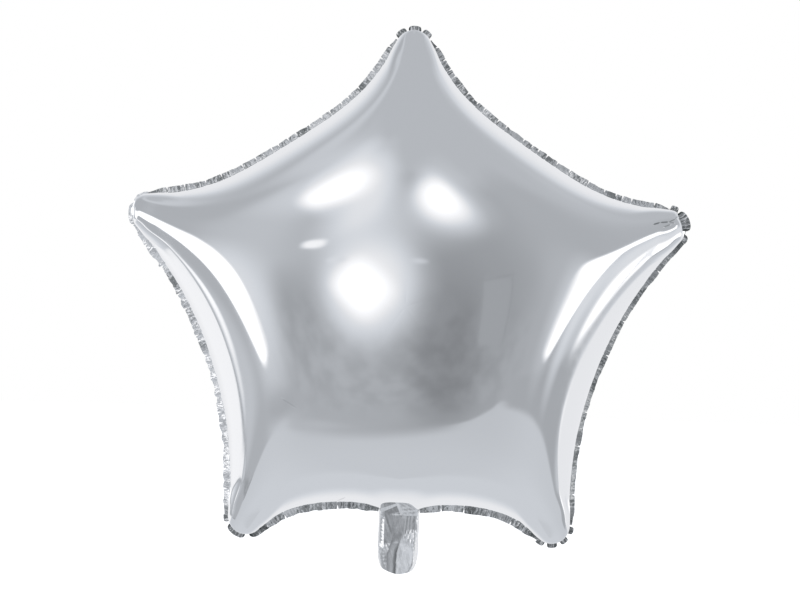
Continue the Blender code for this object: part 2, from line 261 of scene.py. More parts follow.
class Star:
    """The weld line: five round tips joined by concave edges, and the stretch of the neck.

    The panels follow the weld line too, except at the neck: there they end higher up, along the shoulder at
    the neck's root.
    """

    tip_steps = 18
    edge_steps = 96
    low_steps = 46
    neck_steps = 16
    shoulder_steps = 48

    def __init__(self, sizes, neck_half_width, tab_width):
        self.sizes = sizes
        self.neck_half_width = neck_half_width
        reach = (sizes.top_reach, sizes.side_reach, sizes.low_reach, sizes.low_reach, sizes.side_reach)
        turn = (0, sizes.side_turn, sizes.low_turn, math.tau - sizes.low_turn, math.tau - sizes.side_turn)
        away = np.array(reach) - tab_width - sizes.tip_round
        places = away[:, None] * np.stack((np.sin(turn), np.cos(turn)), axis=1)
        self.centres = dict(zip(TIP_NAMES, places))
        self.stretches = self.make_stretches()
        self.rim = np.concatenate([points[:-1] for points in self.stretches.values()])
        self.neck_level = float(self.stretches["neck"][:, 1].min())
        foot = float(self.stretches["neck"][0, 1])
        self.shoulder = along_run(np.array(SHOULDER) + (0.0, foot), self.shoulder_steps + 1)[0]
        self.panel_stretches = {**self.stretches, "neck": self.shoulder}
        self.panel_rim = np.concatenate([points[:-1] for points in self.panel_stretches.values()])

    def curve(self, tip):
        """Dip, leaving angle and handles of the edge that follows a tip."""
        kind = {"top": 0, "left": 0, "right": 1, "lower_left": 1, "lower_right": 2}[tip]
        dip = (self.sizes.upper_dip, self.sizes.side_dip, self.sizes.low_dip)[kind]
        handles = (self.sizes.start_handles[kind], self.sizes.middle_handles[kind])
        return dip, self.sizes.edge_angles[kind], handles

    def edge_frame(self, first, second):
        """Middle of the line between two tip centres, its direction, and the direction into the star."""
        start, end = self.centres[first], self.centres[second]
        middle = (start + end) / 2
        along = unit(end - start)
        inward = np.array((along[1], -along[0]))
        return middle, along, inward * -np.sign(np.dot(inward, middle))

    def end_normals(self, first, second):
        """Outward normals where the edge between two tips leaves the first and meets the second."""
        angle = self.curve(first)[1]
        along, inward = self.edge_frame(first, second)[1:]
        sideways, out = along * math.sin(angle), inward * math.cos(angle)
        return sideways - out, -sideways - out

    def edge(self, first, second):
        """The concave edge between two tips, as two mirrored cubic curves that meet in its middle."""
        dip, angle, handles = self.curve(first)
        middle, along, inward = self.edge_frame(first, second)
        leaving, meeting = self.end_normals(first, second)
        start = self.centres[first] + self.sizes.tip_round * leaving
        end = self.centres[second] + self.sizes.tip_round * meeting
        low = middle + inward * dip
        half = np.dot(low - start, along)
        tilt = inward * math.sin(angle)
        into = (along * math.cos(angle) + tilt) * half * handles[0]
        back = (-along * math.cos(angle) + tilt) * half * handles[0]
        flat = along * half * handles[1]
        points = np.concatenate((
            self.cubic(start, start + into, low - flat, low)[:-1],
            self.cubic(low, low + flat, end + back, end),
        ))
        if first == "lower_right":
            points[:, 1] -= self.sizes.neck_bow * np.exp(-((points[:, 0] / self.sizes.neck_bow_spread) ** 2))
        return points

    def cubic(self, a, b, c, d):
        """Points of a cubic Bezier curve at even steps of its parameter."""
        t = np.linspace(0, 1, self.edge_steps // 2 + 1)[:, None]
        return (1 - t) ** 3 * a + 3 * (1 - t) ** 2 * t * b + 3 * (1 - t) * t ** 2 * c + t ** 3 * d

    def tip(self, previous, name, following):
        """The round end of a tip: an arc about its centre, clockwise between its two edges."""
        arriving = self.end_normals(previous, name)[1]
        leaving = self.end_normals(name, following)[0]
        start, end = (math.atan2(*normal) for normal in (arriving, leaving))
        angle = np.linspace(start, end + math.tau * (end < start), self.tip_steps + 1)
        return self.centres[name] + self.sizes.tip_round * np.stack((np.sin(angle), np.cos(angle)), axis=1)

    def low_parts(self):
        """The bottom edge as three stretches: up to the neck, across it, and on to the other tip."""
        fine = self.edge("lower_right", "lower_left")
        reach = fine[0, 0]
        half = self.neck_half_width
        spans = (
            (reach, half, self.low_steps), (half, -half, self.neck_steps), (-half, -reach, self.low_steps))
        levels = [np.linspace(start, end, steps + 1) for start, end, steps in spans]
        return [np.stack((x, np.interp(x, fine[::-1, 0], fine[::-1, 1])), axis=1) for x in levels]

    def make_stretches(self):
        """Named stretches of the weld line, clockwise from the top tip, with shared ends."""
        stretches = {}
        for index, name in enumerate(TIP_NAMES):
            previous = TIP_NAMES[index - 1]
            following = TIP_NAMES[(index + 1) % len(TIP_NAMES)]
            stretches["tip_" + name] = self.tip(previous, name, following)
            if name == "lower_right":
                parts = self.low_parts()
                stretches.update(zip(("seam_lower_right", "neck", "seam_lower_left"), parts))
            else:
                stretches["seam_" + EDGE_AFTER[name]] = self.edge(name, following)
        return stretches


class Membrane:
    """Height of the blown-up film above the weld plane.

    A stretched membrane over the star's outline has the height -r*r plus a harmonic part: a constant plus the
    logarithm of the distance to each of a ring of sources outside the outline, with strengths that bring it
    to zero all along the weld. The film's height is the square root of that, so that it leaves the weld
    upright.
    """

    source_distance = 0.012
    rim_points_to_a_source = 3
    dent_width = 0.018
    dent_height = 0.014

    def __init__(self, star, film):
        rim = star.rim
        self.film = film
        self.neck_level = star.neck_level
        step = self.rim_points_to_a_source
        self.sources = rim[::step] + outward(rim, True)[::step] * self.source_distance
        square = (rim ** 2).sum(axis=1)
        self.strengths = np.linalg.lstsq(self.terms(rim), square, rcond=1e-9)[0]
        self.middle = self.raw(np.zeros((1, 2)))[0]

    def terms(self, points):
        """Logarithm of the distance to every source, and a one for the constant."""
        away = points[:, None, :] - self.sources[None, :, :]
        return np.concatenate((np.log(np.linalg.norm(away, axis=2)), np.ones((len(points), 1))), axis=1)

    def raw(self, points):
        """The membrane's own height, before its root is taken."""
        return self.terms(points) @ self.strengths - (points ** 2).sum(axis=1)

    def height(self, flat):
        """Height of the film at x and z points, with the dent that the neck draws into it."""
        points = flat.reshape(-1, 2)
        share = np.clip(self.raw(points) / self.middle, 0, None)
        film = self.film.half_depth * np.sqrt(share) * (1 + self.film.arm_fullness * (1 - share))
        up = (points[:, 1] - self.neck_level) / self.dent_height
        dent = self.film.neck_dent * np.exp(-((points[:, 0] / self.dent_width) ** 4) - up ** 2)
        return (film * (1 - dent)).reshape(flat.shape[:-1])


class Creases:
    """Sharp straight folds like those in crumpled film.

    The height is a sum of triangle waves. Each has its own direction within a spread, a wavelength between
    the longest and the shortest, a phase, and a share of the height in step with its wavelength.
    """

    def __init__(self, seed, count, longest, shortest, spread):
        draw = np.random.default_rng(seed)
        turn = draw.uniform(-spread, spread, count)
        self.direction = np.stack((np.cos(turn), np.sin(turn)))
        self.wavelength = np.geomspace(longest, shortest, count)
        self.phase = draw.uniform(0, 1, count)
        self.share = self.wavelength / self.wavelength.sum()

    def waves(self, along, across):
        """The triangle waves at places along and across the film, in metres."""
        run = along[..., None] * self.direction[0] + across[..., None] * self.direction[1]
        return triangle_wave(run / self.wavelength + self.phase)

    def height(self, along, across):
        """Height between about -1 and 1."""
        return (self.waves(along, across) * self.share).sum(axis=-1)

    def valleys(self, along, across, narrow):
        """1 along the bottoms of the folds and 0 elsewhere."""
        return ease(-self.waves(along, across), 1 - narrow, 1.0).max(axis=-1)


def new_object(name, vertices, faces, uv, smooth, marks=None):
    """A mesh object at the origin from points and faces, with a UV place and named marks for each point."""
    mesh = bpy.data.meshes.new(name)
    mesh.from_pydata(np.asarray(vertices).tolist(), [], faces)
    mesh.validate()
    corner = np.empty(len(mesh.loops), dtype=np.int32)
    mesh.loops.foreach_get("vertex_index", corner)
    layer = mesh.uv_layers.new(name="UVMap")
    layer.data.foreach_set("uv", np.asarray(uv, dtype=np.float32)[corner].ravel())
    for mark, values in (marks or {}).items():
        layer = mesh.attributes.new(mark, "FLOAT", "POINT")
        layer.data.foreach_set("value", np.asarray(values, dtype=np.float32).ravel())
    if smooth:
        mesh.shade_smooth()
        mesh.set_sharp_from_angle(angle=SHARP_ANGLE)
    piece = bpy.data.objects.new(name, mesh)
    bpy.context.scene.collection.objects.link(piece)
    return piece


def ring_quads(rings, count, start):
    """Quads between closed rings of points stored one ring after another."""
    ring = np.arange(rings - 1)[:, None] * count
    column = np.arange(count)[None]
    beside = (column + 1) % count
    quads = np.stack((ring + column, ring + beside, ring + count + beside, ring + count + column), axis=-1)
    return quads.reshape(-1, 4) + start


def grid_quads(rows, columns, start):
    """Quads of an open grid of points stored row by row."""
    first = np.arange(rows - 1)[:, None] * columns + np.arange(columns - 1)[None]
    quads = np.stack((first, first + 1, first + columns + 1, first + columns), axis=-1)
    return quads.reshape(-1, 4) + start


def sheet(name, centre, thickness, uv, marks):
    """A thin closed sheet about a grid of centre points, half its thickness to either side of them."""
    rows, columns = centre.shape[:2]
    normal = unit(np.cross(np.gradient(centre, axis=1), np.gradient(centre, axis=0)))
    above, below = centre + normal * thickness / 2, centre - normal * thickness / 2
    count = rows * columns
    border = np.concatenate((
        np.arange(columns), np.arange(1, rows) * columns + columns - 1,
        (rows - 1) * columns + np.arange(columns - 2, -1, -1), np.arange(rows - 2, 0, -1) * columns))
    onward = np.roll(border, -1)
    faces = grid_quads(rows, columns, 0)[:, ::-1].tolist()
    faces += grid_quads(rows, columns, count).tolist()
    faces += np.stack((border, onward, onward + count, border + count), axis=1).tolist()
    vertices = np.concatenate((above.reshape(-1, 3), below.reshape(-1, 3)))
    both_sides = {mark: np.tile(values.ravel(), 2) for mark, values in marks.items()}
    return new_object(name, vertices, faces, np.tile(uv.reshape(-1, 2), (2, 1)), False, both_sides)


def dress(piece, material, slot, *nodes):
    """Gives a piece its material and its body, and lets it stand for its CAD nodes. Its slot is not used."""
    piece.data.materials.append(material)
    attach(piece, BODY)
    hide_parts(*nodes)
    return piece


class Net:
    """Adds nodes to one node tree. A socket, number or colour can feed any input."""

    def __init__(self, tree):
        self.tree = tree

    def add(self, kind, feeds=None, **settings):
        """A new shader node with its settings and inputs."""
        node = self.tree.nodes.new("ShaderNode" + kind)
        for name, value in settings.items():
            setattr(node, name, value)
        for name, value in (feeds or {}).items():
            self.feed(node.inputs[name], value)
        return node

    def feed(self, socket, value):
        """Links a socket to an input, or sets the input's own value."""
        if isinstance(value, bpy.types.NodeSocket):
            self.tree.links.new(value, socket)
        else:
            socket.default_value = value

    def math(self, operation, *values, clamp=False):
        """The result of a Math node."""
        node = self.add("Math", operation=operation, use_clamp=clamp)
        for socket, value in zip(node.inputs, values):
            self.feed(socket, value)
        return node.outputs[0]

    def step(self, value, start, end, low=0.0, high=1.0):
        """A smooth step from low at start to high at end."""
        feeds = {"Value": value, "From Min": start, "From Max": end, "To Min": low, "To Max": high}
        return self.add("MapRange", feeds, interpolation_type="SMOOTHSTEP").outputs["Result"]

    def blend(self, share, first, second):
        """A number that goes from the first value to the second with the share."""
        node = self.add("Mix", data_type="FLOAT")
        for socket, value in zip((node.inputs[0], node.inputs[2], node.inputs[3]), (share, first, second)):
            self.feed(socket, value)
        return node.outputs[0]

    def tint(self, share, first, second):
        """A colour that goes from the first to the second with the share."""
        node = self.add("Mix", data_type="RGBA")
        for socket, value in zip((node.inputs[0], node.inputs[6], node.inputs[7]), (share, first, second)):
            self.feed(socket, value)
        return node.outputs[2]

    def group(self, tree, **feeds):
        """A placed node group; an underscore in a name stands for a space."""
        node = self.add("Group", node_tree=tree)
        for name, value in feeds.items():
            self.feed(node.inputs[name.replace("_", " ")], value)
        return node


def new_group(name, inputs, outputs):
    """An empty shader node group with named sockets, and the net, inputs and outputs inside it."""
    tree = bpy.data.node_groups.new(name, "ShaderNodeTree")
    kinds = {"number": "NodeSocketFloat", "vector": "NodeSocketVector", "colour": "NodeSocketColor"}
    for socket, (kind, value) in inputs.items():
        made = tree.interface.new_socket(name=socket, in_out="INPUT", socket_type=kinds[kind])
        made.default_value = value
    for socket, kind in outputs.items():
        tree.interface.new_socket(name=socket, in_out="OUTPUT", socket_type=kinds[kind])
    return tree, Net(tree), tree.nodes.new("NodeGroupInput").outputs, tree.nodes.new("NodeGroupOutput").inputs


def new_material(name):
    """A new material, its node net and its shader."""
    material = bpy.data.materials.new(name)
    material.use_nodes = True
    return material, Net(material.node_tree), material.node_tree.nodes["Principled BSDF"]


def lamp_group():
    """A soft oval or rounded box in the studio's sky: 1 inside, 0 outside, from its place in degrees."""
    tree, net, given, out = new_group("studio lamp", {
        "Azimuth": ("number", 0.0), "Elevation": ("number", 0.0), "Centre Azimuth": ("number", 0.0),
        "Centre Elevation": ("number", 0.0), "Half Width": ("number", 10.0), "Half Height": ("number", 10.0),
        "Turn": ("number", 0.0), "Squareness": ("number", 2.0), "Softness": ("number", 0.2)},
        {"Mask": "number"})
    across = net.math("SUBTRACT", given["Azimuth"], given["Centre Azimuth"])
    up = net.math("SUBTRACT", given["Elevation"], given["Centre Elevation"])
    turn = net.math("RADIANS", given["Turn"])
    cosine, sine = net.math("COSINE", turn), net.math("SINE", turn)
    wide = net.math("ADD", net.math("MULTIPLY", across, cosine), net.math("MULTIPLY", up, sine))
    tall = net.math("SUBTRACT", net.math("MULTIPLY", up, cosine), net.math("MULTIPLY", across, sine))
    powers = [
        net.math("POWER", net.math("ABSOLUTE", net.math("DIVIDE", length, half)), given["Squareness"])
        for length, half in ((wide, given["Half Width"]), (tall, given["Half Height"]))
    ]
    away = net.math("POWER", net.math("ADD", *powers), net.math("DIVIDE", 1.0, given["Squareness"]))
    inner = net.math("SUBTRACT", 1.0, given["Softness"])
    outer = net.math("ADD", 1.0, given["Softness"])
    net.feed(out["Mask"], net.step(away, inner, outer, 1.0, 0.0))
    return tree


# Display levels are light to the power of one over this
DISPLAY_POWER = 2.2
# Share of the studio's light that the foil gives back, so that painted levels are those seen in the film
FOIL_SHARE = 0.915
# Tints of the studio's greys and of its whites
GREY_TINT = (0.963, 1.0, 1.062, 1.0)
WHITE_TINT = (0.997, 1.0, 1.022, 1.0)


class Sky:
    """Paints the studio that the foil mirrors, by azimuth and elevation in degrees.

    Azimuth 0 is the camera's side and grows to the right; brightness is in display levels from 0 to 1.
    """

    def __init__(self, net):
        self.net = net
        self.lamp = lamp_group()
        ray = net.add("TexCoord").outputs["Generated"]
        x, y, z = net.add("SeparateXYZ", {"Vector": ray}).outputs
        self.azimuth = net.math("DEGREES", net.math("ARCTAN2", x, net.math("MULTIPLY", y, -1.0)))
        self.elevation = net.math("DEGREES", net.math("ARCSINE", z))
        self.behind = y
        self.level = 0.0

    def curve(self, points, low=0.0, high=1.0):
        """A smooth value at each azimuth through a few points, between the lowest and highest it may have."""
        node = self.net.add("FloatCurve")
        curve = node.mapping.curves[0]
        for index, (azimuth, value) in enumerate(points):
            place = ((azimuth + 180) / 360, (value - low) / (high - low))
            if index < 2:
                curve.points[index].location = place
            else:
                curve.points.new(*place)
        for point in curve.points:
            point.handle_type = "AUTO_CLAMPED"
        node.mapping.update()
        place = self.net.math("DIVIDE", self.net.math("ADD", self.azimuth, 180.0), 360.0)
        self.net.feed(node.inputs["Value"], place)
        return self.net.math("ADD", self.net.math("MULTIPLY", node.outputs[0], high - low), low)

    def edge(self, points):
        """Elevation of a boundary at each azimuth, as a curve through a few points."""
        return self.curve(points, -90.0, 90.0)

    def above(self, edge, soft):
        """1 above a boundary and 0 below it."""
        rise = self.net.math("SUBTRACT", self.elevation, edge)
        return self.net.step(rise, -soft, soft)

    def span(self, first, last, soft):
        """1 between two azimuths."""
        start = self.net.step(self.azimuth, first - soft, first + soft)
        return self.both(start, self.net.step(self.azimuth, last + soft, last - soft))

    def beside(self, point, turn, soft):
        """1 on the upper side of a line through a point, turned by an angle in degrees."""
        angle = math.radians(turn)
        net = self.net
        across = net.math("MULTIPLY", net.math("SUBTRACT", self.azimuth, point[0]), -math.sin(angle))
        up = net.math("MULTIPLY", net.math("SUBTRACT", self.elevation, point[1]), math.cos(angle))
        return net.step(net.math("ADD", across, up), -soft, soft)

    def lay(self, mask, level):
        """Lays a brightness over what is there, where the mask says."""
        self.level = self.net.blend(mask, self.level, level)

    def both(self, *masks):
        """Where all of the masks are."""
        product = masks[0]
        for mask in masks[1:]:
            product = self.net.math("MULTIPLY", product, mask)
        return product

    def patch(self, centre, half, turn=0.0, squareness=2.0, soft=0.3):
        """1 inside a soft oval or rounded box."""
        return self.net.group(
            self.lamp, Azimuth=self.azimuth, Elevation=self.elevation, Centre_Azimuth=centre[0],
            Centre_Elevation=centre[1], Half_Width=half[0], Half_Height=half[1], Turn=turn,
            Squareness=squareness, Softness=soft).outputs["Mask"]

    def oval(self, level, centre, half, strength=1.0, where=1.0, **form):
        """Lays a soft oval or rounded box."""
        mask = self.net.math("MULTIPLY", self.patch(centre, half, **form), strength)
        self.lay(self.net.math("MULTIPLY", mask, where), level)

    def near(self, boundary, full, none):
        """1 on a boundary up to one distance, and 0 from another on."""
        away = self.net.math("SUBTRACT", self.elevation, boundary)
        return self.net.step(self.net.math("ABSOLUTE", away), none, full)

    def tall_box(self, bottom, top, soft, ends):
        """Lays a tall white box between two boundaries. How soft its top is changes along it."""
        net = self.net
        over = net.math("DIVIDE", net.math("SUBTRACT", self.elevation, self.edge(top)), soft)
        roof = net.step(over, -1.0, 1.0, 1.0, 0.0)
        self.lay(self.both(self.above(self.edge(bottom), 0.9), roof, ends), 1.08)


def paint_walls(sky):
    """The grey walls of the room, the even ceiling, and the paler backdrop behind the balloon."""
    net = sky.net
    around = sky.curve((
        (-180, 0.80), (-125, 0.72), (-105, 0.675), (-76, 0.675), (-60, 0.725), (-46, 0.735), (-30, 0.70),
        (-8, 0.66), (6, 0.625), (18, 0.62), (30, 0.635), (42, 0.66), (66, 0.67), (84, 0.70), (125, 0.76),
        (180, 0.80)))
    cornice = sky.edge((
        (-180, 46), (-125, 50), (-100, 53), (-60, 53), (-25, 46), (0, 39), (20, 39), (35, 43), (50, 50),
        (70, 53), (110, 53), (125, 48), (180, 46)))
    sky.level = net.blend(sky.above(cornice, 3.2), around, 0.708)
    sky.oval(0.685, (47, 10), (7, 12), soft=0.8)
    sky.oval(0.85, (85, -1), (15, 17), soft=0.6)
    sky.oval(0.77, (-88, 56.5), (50, 2.6), turn=-2, soft=0.8)
    far = sky.both(net.step(sky.behind, 0.22, 0.80), net.step(sky.elevation, 72.0, 50.0))
    sky.lay(far, 0.90)
    turned = net.step(net.math("ABSOLUTE", sky.azimuth), 162.0, 178.0)
    sky.lay(sky.both(turned, net.step(sky.elevation, 38.0, 46.0)), 0.73)
    sky.oval(1.15, (158, 4), (20, 7), squareness=4, soft=0.25)
    sky.oval(1.15, (-158, 4), (20, 7), squareness=4, soft=0.25)


def paint_floor(sky):
    """The paler floor sweep, whose far edge shows low in the film."""
    net = sky.net
    edge = sky.edge((
        (-180, -22), (-110, -20.5), (-104, -19.5), (-97, -25), (-90, -30), (-84, -34), (-70, -33),
        (-50, -31.5), (-42, -35), (-30, -39.5), (-12, -44.0), (0, -42), (10, -38.5), (20, -33.5), (28, -28),
        (35, -24.5), (44, -24.6), (68, -26.2), (85, -26), (96, -23.5), (104, -19.5), (130, -22), (180, -22)))
    near = net.blend(net.step(sky.azimuth, -24.0, -8.0), net.step(sky.azimuth, -70.0, -48.0, 0.8, 3.4), 0.7)
    drop = net.math("DIVIDE", net.math("SUBTRACT", sky.elevation, edge), near)
    fade = sky.both(net.step(sky.azimuth, -50.0, -36.0), net.step(sky.azimuth, 22.0, 8.0))
    sharp = net.step(drop, -1.0, 1.0, 1.0, 0.0)
    gentle = net.step(net.math("SUBTRACT", sky.elevation, edge), -6.5, 3.5, 1.0, 0.0)
    sides = net.step(net.math("ABSOLUTE", sky.azimuth), 25.0, 65.0, 0.0, 0.028)
    shade = net.math("ADD", net.step(sky.elevation, -28.0, -66.0, 0.740, 0.765), sides)
    sky.lay(net.blend(fade, sharp, gentle), shade)
    sky.oval(0.70, (-31, -36.5), (13, 2.2), turn=-10, soft=0.7)
    seam = sky.both(net.step(net.math("ABSOLUTE", drop), 0.9, 0.3), sky.span(-104.0, -84.0, 2.0))
    sky.lay(seam, 0.56)
    low_behind = sky.both(net.step(sky.behind, 0.30, 0.75), net.step(sky.elevation, -15.0, -25.0))
    sky.lay(low_behind, 0.90)


def paint_left_box(sky):
    """The tall white box on the left, and the backdrop's bright strip that follows it."""
    net = sky.net
    sky.oval(0.745, (-89, -20), (15, 3.5), soft=0.7)
    sky.oval(0.65, (-52, -26), (15, 3.5), soft=0.7)
    sky.oval(0.84, (-55, -3), (13, 15), soft=0.8)
    line = sky.edge(((-180, 10), (-128, -7), (-120, -11), (-110, -16), (-104, -19), (-98, -30), (180, -30)))
    below = net.step(net.math("SUBTRACT", sky.elevation, line), 0.3, -0.3)
    beyond = sky.both(net.step(sky.azimuth, -103.0, -105.0), net.step(sky.azimuth, -160.0, -135.0))
    floor = sky.edge(((-180, -21.5), (-120, -21.5), (-104, -19), (-98, -15), (180, -15)))
    sky.lay(sky.both(beyond, below, sky.above(floor, 0.5)), 0.945)
    sky.lay(sky.both(beyond, sky.near(line, 0.4, 1.0)), 0.66)
    bottom = (
        (-180, -16), (-104, -18.4), (-99, -16.6), (-95, -14), (-90, -10), (-86, -6.4), (-83, -5), (-80, -6),
        (-75, -9), (-70, -13.5), (-65, -17), (-60, -18.8), (-54, -17), (-50, -15), (180, -15))
    top = (
        (-180, 14), (-104, 15), (-97, 16), (-92, 10.5), (-87, 8), (-81, 8.2), (-77, 11.4), (-72, 12),
        (-66, 9.5), (-61, 5.5), (-57, 1), (-54, -4), (-51.5, -11), (-48, -18), (180, -18))
    ends = sky.both(net.step(sky.azimuth, -106.0, -97.0), net.step(sky.azimuth, -49.5, -57.0))
    sky.tall_box(bottom, top, net.step(sky.azimuth, -84.0, -74.0, 4.5, 2.2), ends)
    sky.oval(1.0, (-97, -18.2), (5.0, 1.0), soft=0.5)


def paint_right_box(sky):
    """The tall white box on the right with its pointed top, and the bright strip beyond it."""
    net = sky.net
    over_band = net.step(sky.elevation, -19.0, -17.8)
    band = sky.both(net.step(sky.elevation, -17.5, -19.2), net.step(sky.elevation, -27.5, -25.0))
    sky.lay(sky.both(sky.span(36.0, 100.0, 5.0), band), 0.645)
    pale = sky.both(net.step(sky.azimuth, 84.0, 98.0), net.step(sky.elevation, 47.0, 32.0), over_band)
    pale = sky.both(pale, net.step(sky.azimuth, 140.0, 124.0))
    sky.lay(pale, net.step(sky.azimuth, 108.0, 124.0, 0.87, 0.79))
    foot = sky.above(sky.edge(((-180, -19), (100, -18.6), (130, -21.5), (180, -21.5))), 0.4)
    sky.lay(sky.both(net.step(sky.azimuth, 96.0, 106.0), net.step(sky.elevation, 0.0, -9.0), foot), 0.895)
    spot = sky.patch((94.0, -14.0), (10.5, 7.0), squareness=2.6, soft=0.35)
    sky.lay(sky.both(spot, over_band), 1.08)
    line = sky.edge(((-180, 20), (74, 16), (78, 6), (82, -2), (88, -9), (95, -15), (100, -18), (180, -18)))
    sky.lay(sky.both(sky.near(line, 0.2, 0.7), sky.span(76.0, 99.0, 3.0)), 0.86)
    sky.oval(0.84, (70, -10), (6, 10), soft=0.7)
    sky.oval(0.77, (54, -2), (6, 14), soft=0.8)
    bottom = (
        (-180, -13), (50, -14), (54, -15.8), (58, -16.6), (62, -15), (65, -12.2), (67.5, -7.6), (69.2, -3.5),
        (70.8, 2), (72.3, 7.6), (74, 9.4), (76, 10.5), (76.6, 15), (77.2, 24), (180, 24))
    top = (
        (-180, -6), (49, -6), (51.5, 1.5), (53.5, 6.2), (56, 9.2), (60, 10.8), (66, 12), (70, 13.6),
        (72.6, 16), (74.4, 20.4), (75.4, 21), (77, 21), (180, 21))
    soft = net.step(sky.azimuth, 50.0, 62.0, 3.4, 1.5)
    sky.tall_box(bottom, top, soft, net.step(sky.azimuth, 50.5, 58.0))


def paint_room(sky):
    """The dim room in front of the balloon: blurred things along its far wall, and an upright frame."""
    net = sky.net
    sky.oval(0.595, (15, 2), (16, 19), soft=0.75)
    sky.oval(0.63, (-30, -6), (11, 13), soft=0.6)
    sky.oval(0.655, (-16, -24), (32, 15), soft=0.5, strength=0.8)
    sky.oval(0.525, (11, -14), (8.5, 19), soft=0.8)
    place = net.add("CombineXYZ", {"X": sky.azimuth, "Y": sky.elevation}).outputs[0]
    blur = net.add("TexNoise", {"Vector": place, "Scale": 0.16, "Detail": 2.5}).outputs["Fac"]
    middle = sky.patch((-4.0, -14.0), (38.0, 16.0), soft=0.5)
    change = net.math("MULTIPLY", net.step(blur, 0.3, 0.7, -0.03, 0.02), middle)
    sky.level = net.math("ADD", sky.level, change)
    sky.oval(0.615, (22.6, -1), (4.6, 9), squareness=6, soft=0.12)
    sky.oval(0.575, (18.1, -1), (0.35, 9), squareness=4, soft=0.4, strength=0.7)
    sky.oval(0.575, (27.4, 0), (0.35, 9.5), squareness=4, soft=0.4, strength=0.6)
    sky.oval(0.575, (22.7, 8), (4.9, 0.4), turn=14, squareness=4, soft=0.4, strength=0.7)


def paint_lamps(sky):
    """The three round lamps in front of the balloon, with their glow and a few small reflections."""
    sky.oval(0.80, (-40, 45), (27, 9), turn=-16, soft=0.75)
    sky.oval(0.87, (-14, 27.5), (10, 18), turn=14, soft=0.8)
    sky.oval(0.80, (-8.5, 5.5), (11.5, 14), soft=0.6)
    sky.oval(0.92, (-9, 5), (8.5, 10.5), soft=0.7)
    sky.oval(0.77, (12, 31.5), (18, 10), turn=33, soft=0.7)
    sky.oval(0.86, (12.4, 31), (10.5, 9.0), turn=28, soft=0.55)
    sky.oval(1.06, (11.6, 31), (7.2, 5.8), turn=28, squareness=2.2, soft=0.75)
    sky.oval(1.08, (-10.2, 4.2), (5.8, 4.7), turn=-42, squareness=3.0, soft=0.7)
    above = sky.beside((-52, 46), -36.0, 2.2)
    sky.oval(0.90, (-35, 42.5), (19, 10), turn=-16, soft=0.7, where=above)
    sky.oval(1.08, (-31.5, 40), (12.0, 5.2), turn=-14, squareness=2.2, soft=0.8, where=above)
    sky.oval(0.95, (-25, 17.6), (3.7, 1.6), turn=-3, squareness=2.6, soft=0.4)
    sky.oval(0.84, (-17, 11.5), (2.5, 0.9), soft=0.5)
    sky.oval(0.80, (2.6, 10.8), (2.1, 0.6), soft=0.5)


def make_world(scene):
    """White behind the balloon for the camera, and the painted studio for all that the foil mirrors."""
    world = bpy.data.worlds.new("studio")
    scene.world = world
    world.use_nodes = True
    world.node_tree.nodes.clear()
    net = Net(world.node_tree)
    sky = Sky(net)
    paint_walls(sky)
    paint_room(sky)
    paint_floor(sky)
    paint_left_box(sky)
    paint_right_box(sky)
    paint_lamps(sky)
    linear = net.math("DIVIDE", net.math("POWER", sky.level, DISPLAY_POWER), FOIL_SHARE)
    tint = net.tint(net.step(sky.level, 0.80, 0.93), GREY_TINT, WHITE_TINT)
    light = net.add("VectorMath", operation="SCALE")
    net.feed(light.inputs[0], tint)
    net.feed(light.inputs["Scale"], linear)
    mirrored = net.add("Background", {"Color": light.outputs[0]})
    plain = net.add("Background", {"Color": (1.0, 1.0, 1.0, 1.0)})
    shown = net.add("MixShader")
    net.feed(shown.inputs[0], net.add("LightPath").outputs["Is Camera Ray"])
    net.feed(shown.inputs[1], mirrored.outputs[0])
    net.feed(shown.inputs[2], plain.outputs[0])
    net.add("OutputWorld", {"Surface": shown.outputs[0]})


# Light that the floor gives by itself, so that it stays pale in an even studio
FLOOR_GLOW = 0.62
SENSOR_WIDTH = 36.0


def make_floor(drop):
    """A pale round floor under the balloon, seen from above only."""
    count = 96
    angle = np.linspace(0, math.tau, count, endpoint=False)
    radius = 14.0
    ring = np.stack((np.cos(angle) * radius, np.sin(angle) * radius, np.full(count, -drop)), axis=1)
    floor = new_object("floor", ring, [list(range(count))], ring[:, :2] / radius, False)
    material, net, shader = new_material("pale floor")
    place = net.add("TexCoord").outputs["Object"]
    grain = net.add("TexNoise", {"Vector": place, "Scale": 6.0, "Detail": 4.0}).outputs["Fac"]
    net.feed(shader.inputs["Base Color"], net.tint(grain, (0.90, 0.90, 0.91, 1.0), (0.94, 0.94, 0.94, 1.0)))
    net.feed(shader.inputs["Roughness"], 0.9)
    shader.inputs["Emission Color"].default_value = (1.0, 1.0, 1.0, 1.0)
    shader.inputs["Emission Strength"].default_value = FLOOR_GLOW
    clear = net.add("BsdfTransparent").outputs[0]
    mix = net.add("MixShader")
    net.feed(mix.inputs[0], net.add("NewGeometry").outputs["Backfacing"])
    net.feed(mix.inputs[1], shader.outputs[0])
    net.feed(mix.inputs[2], clear)
    net.feed(material.node_tree.nodes["Material Output"].inputs["Surface"], mix.outputs[0])
    floor.data.materials.append(material)
    floor.visible_glossy = False


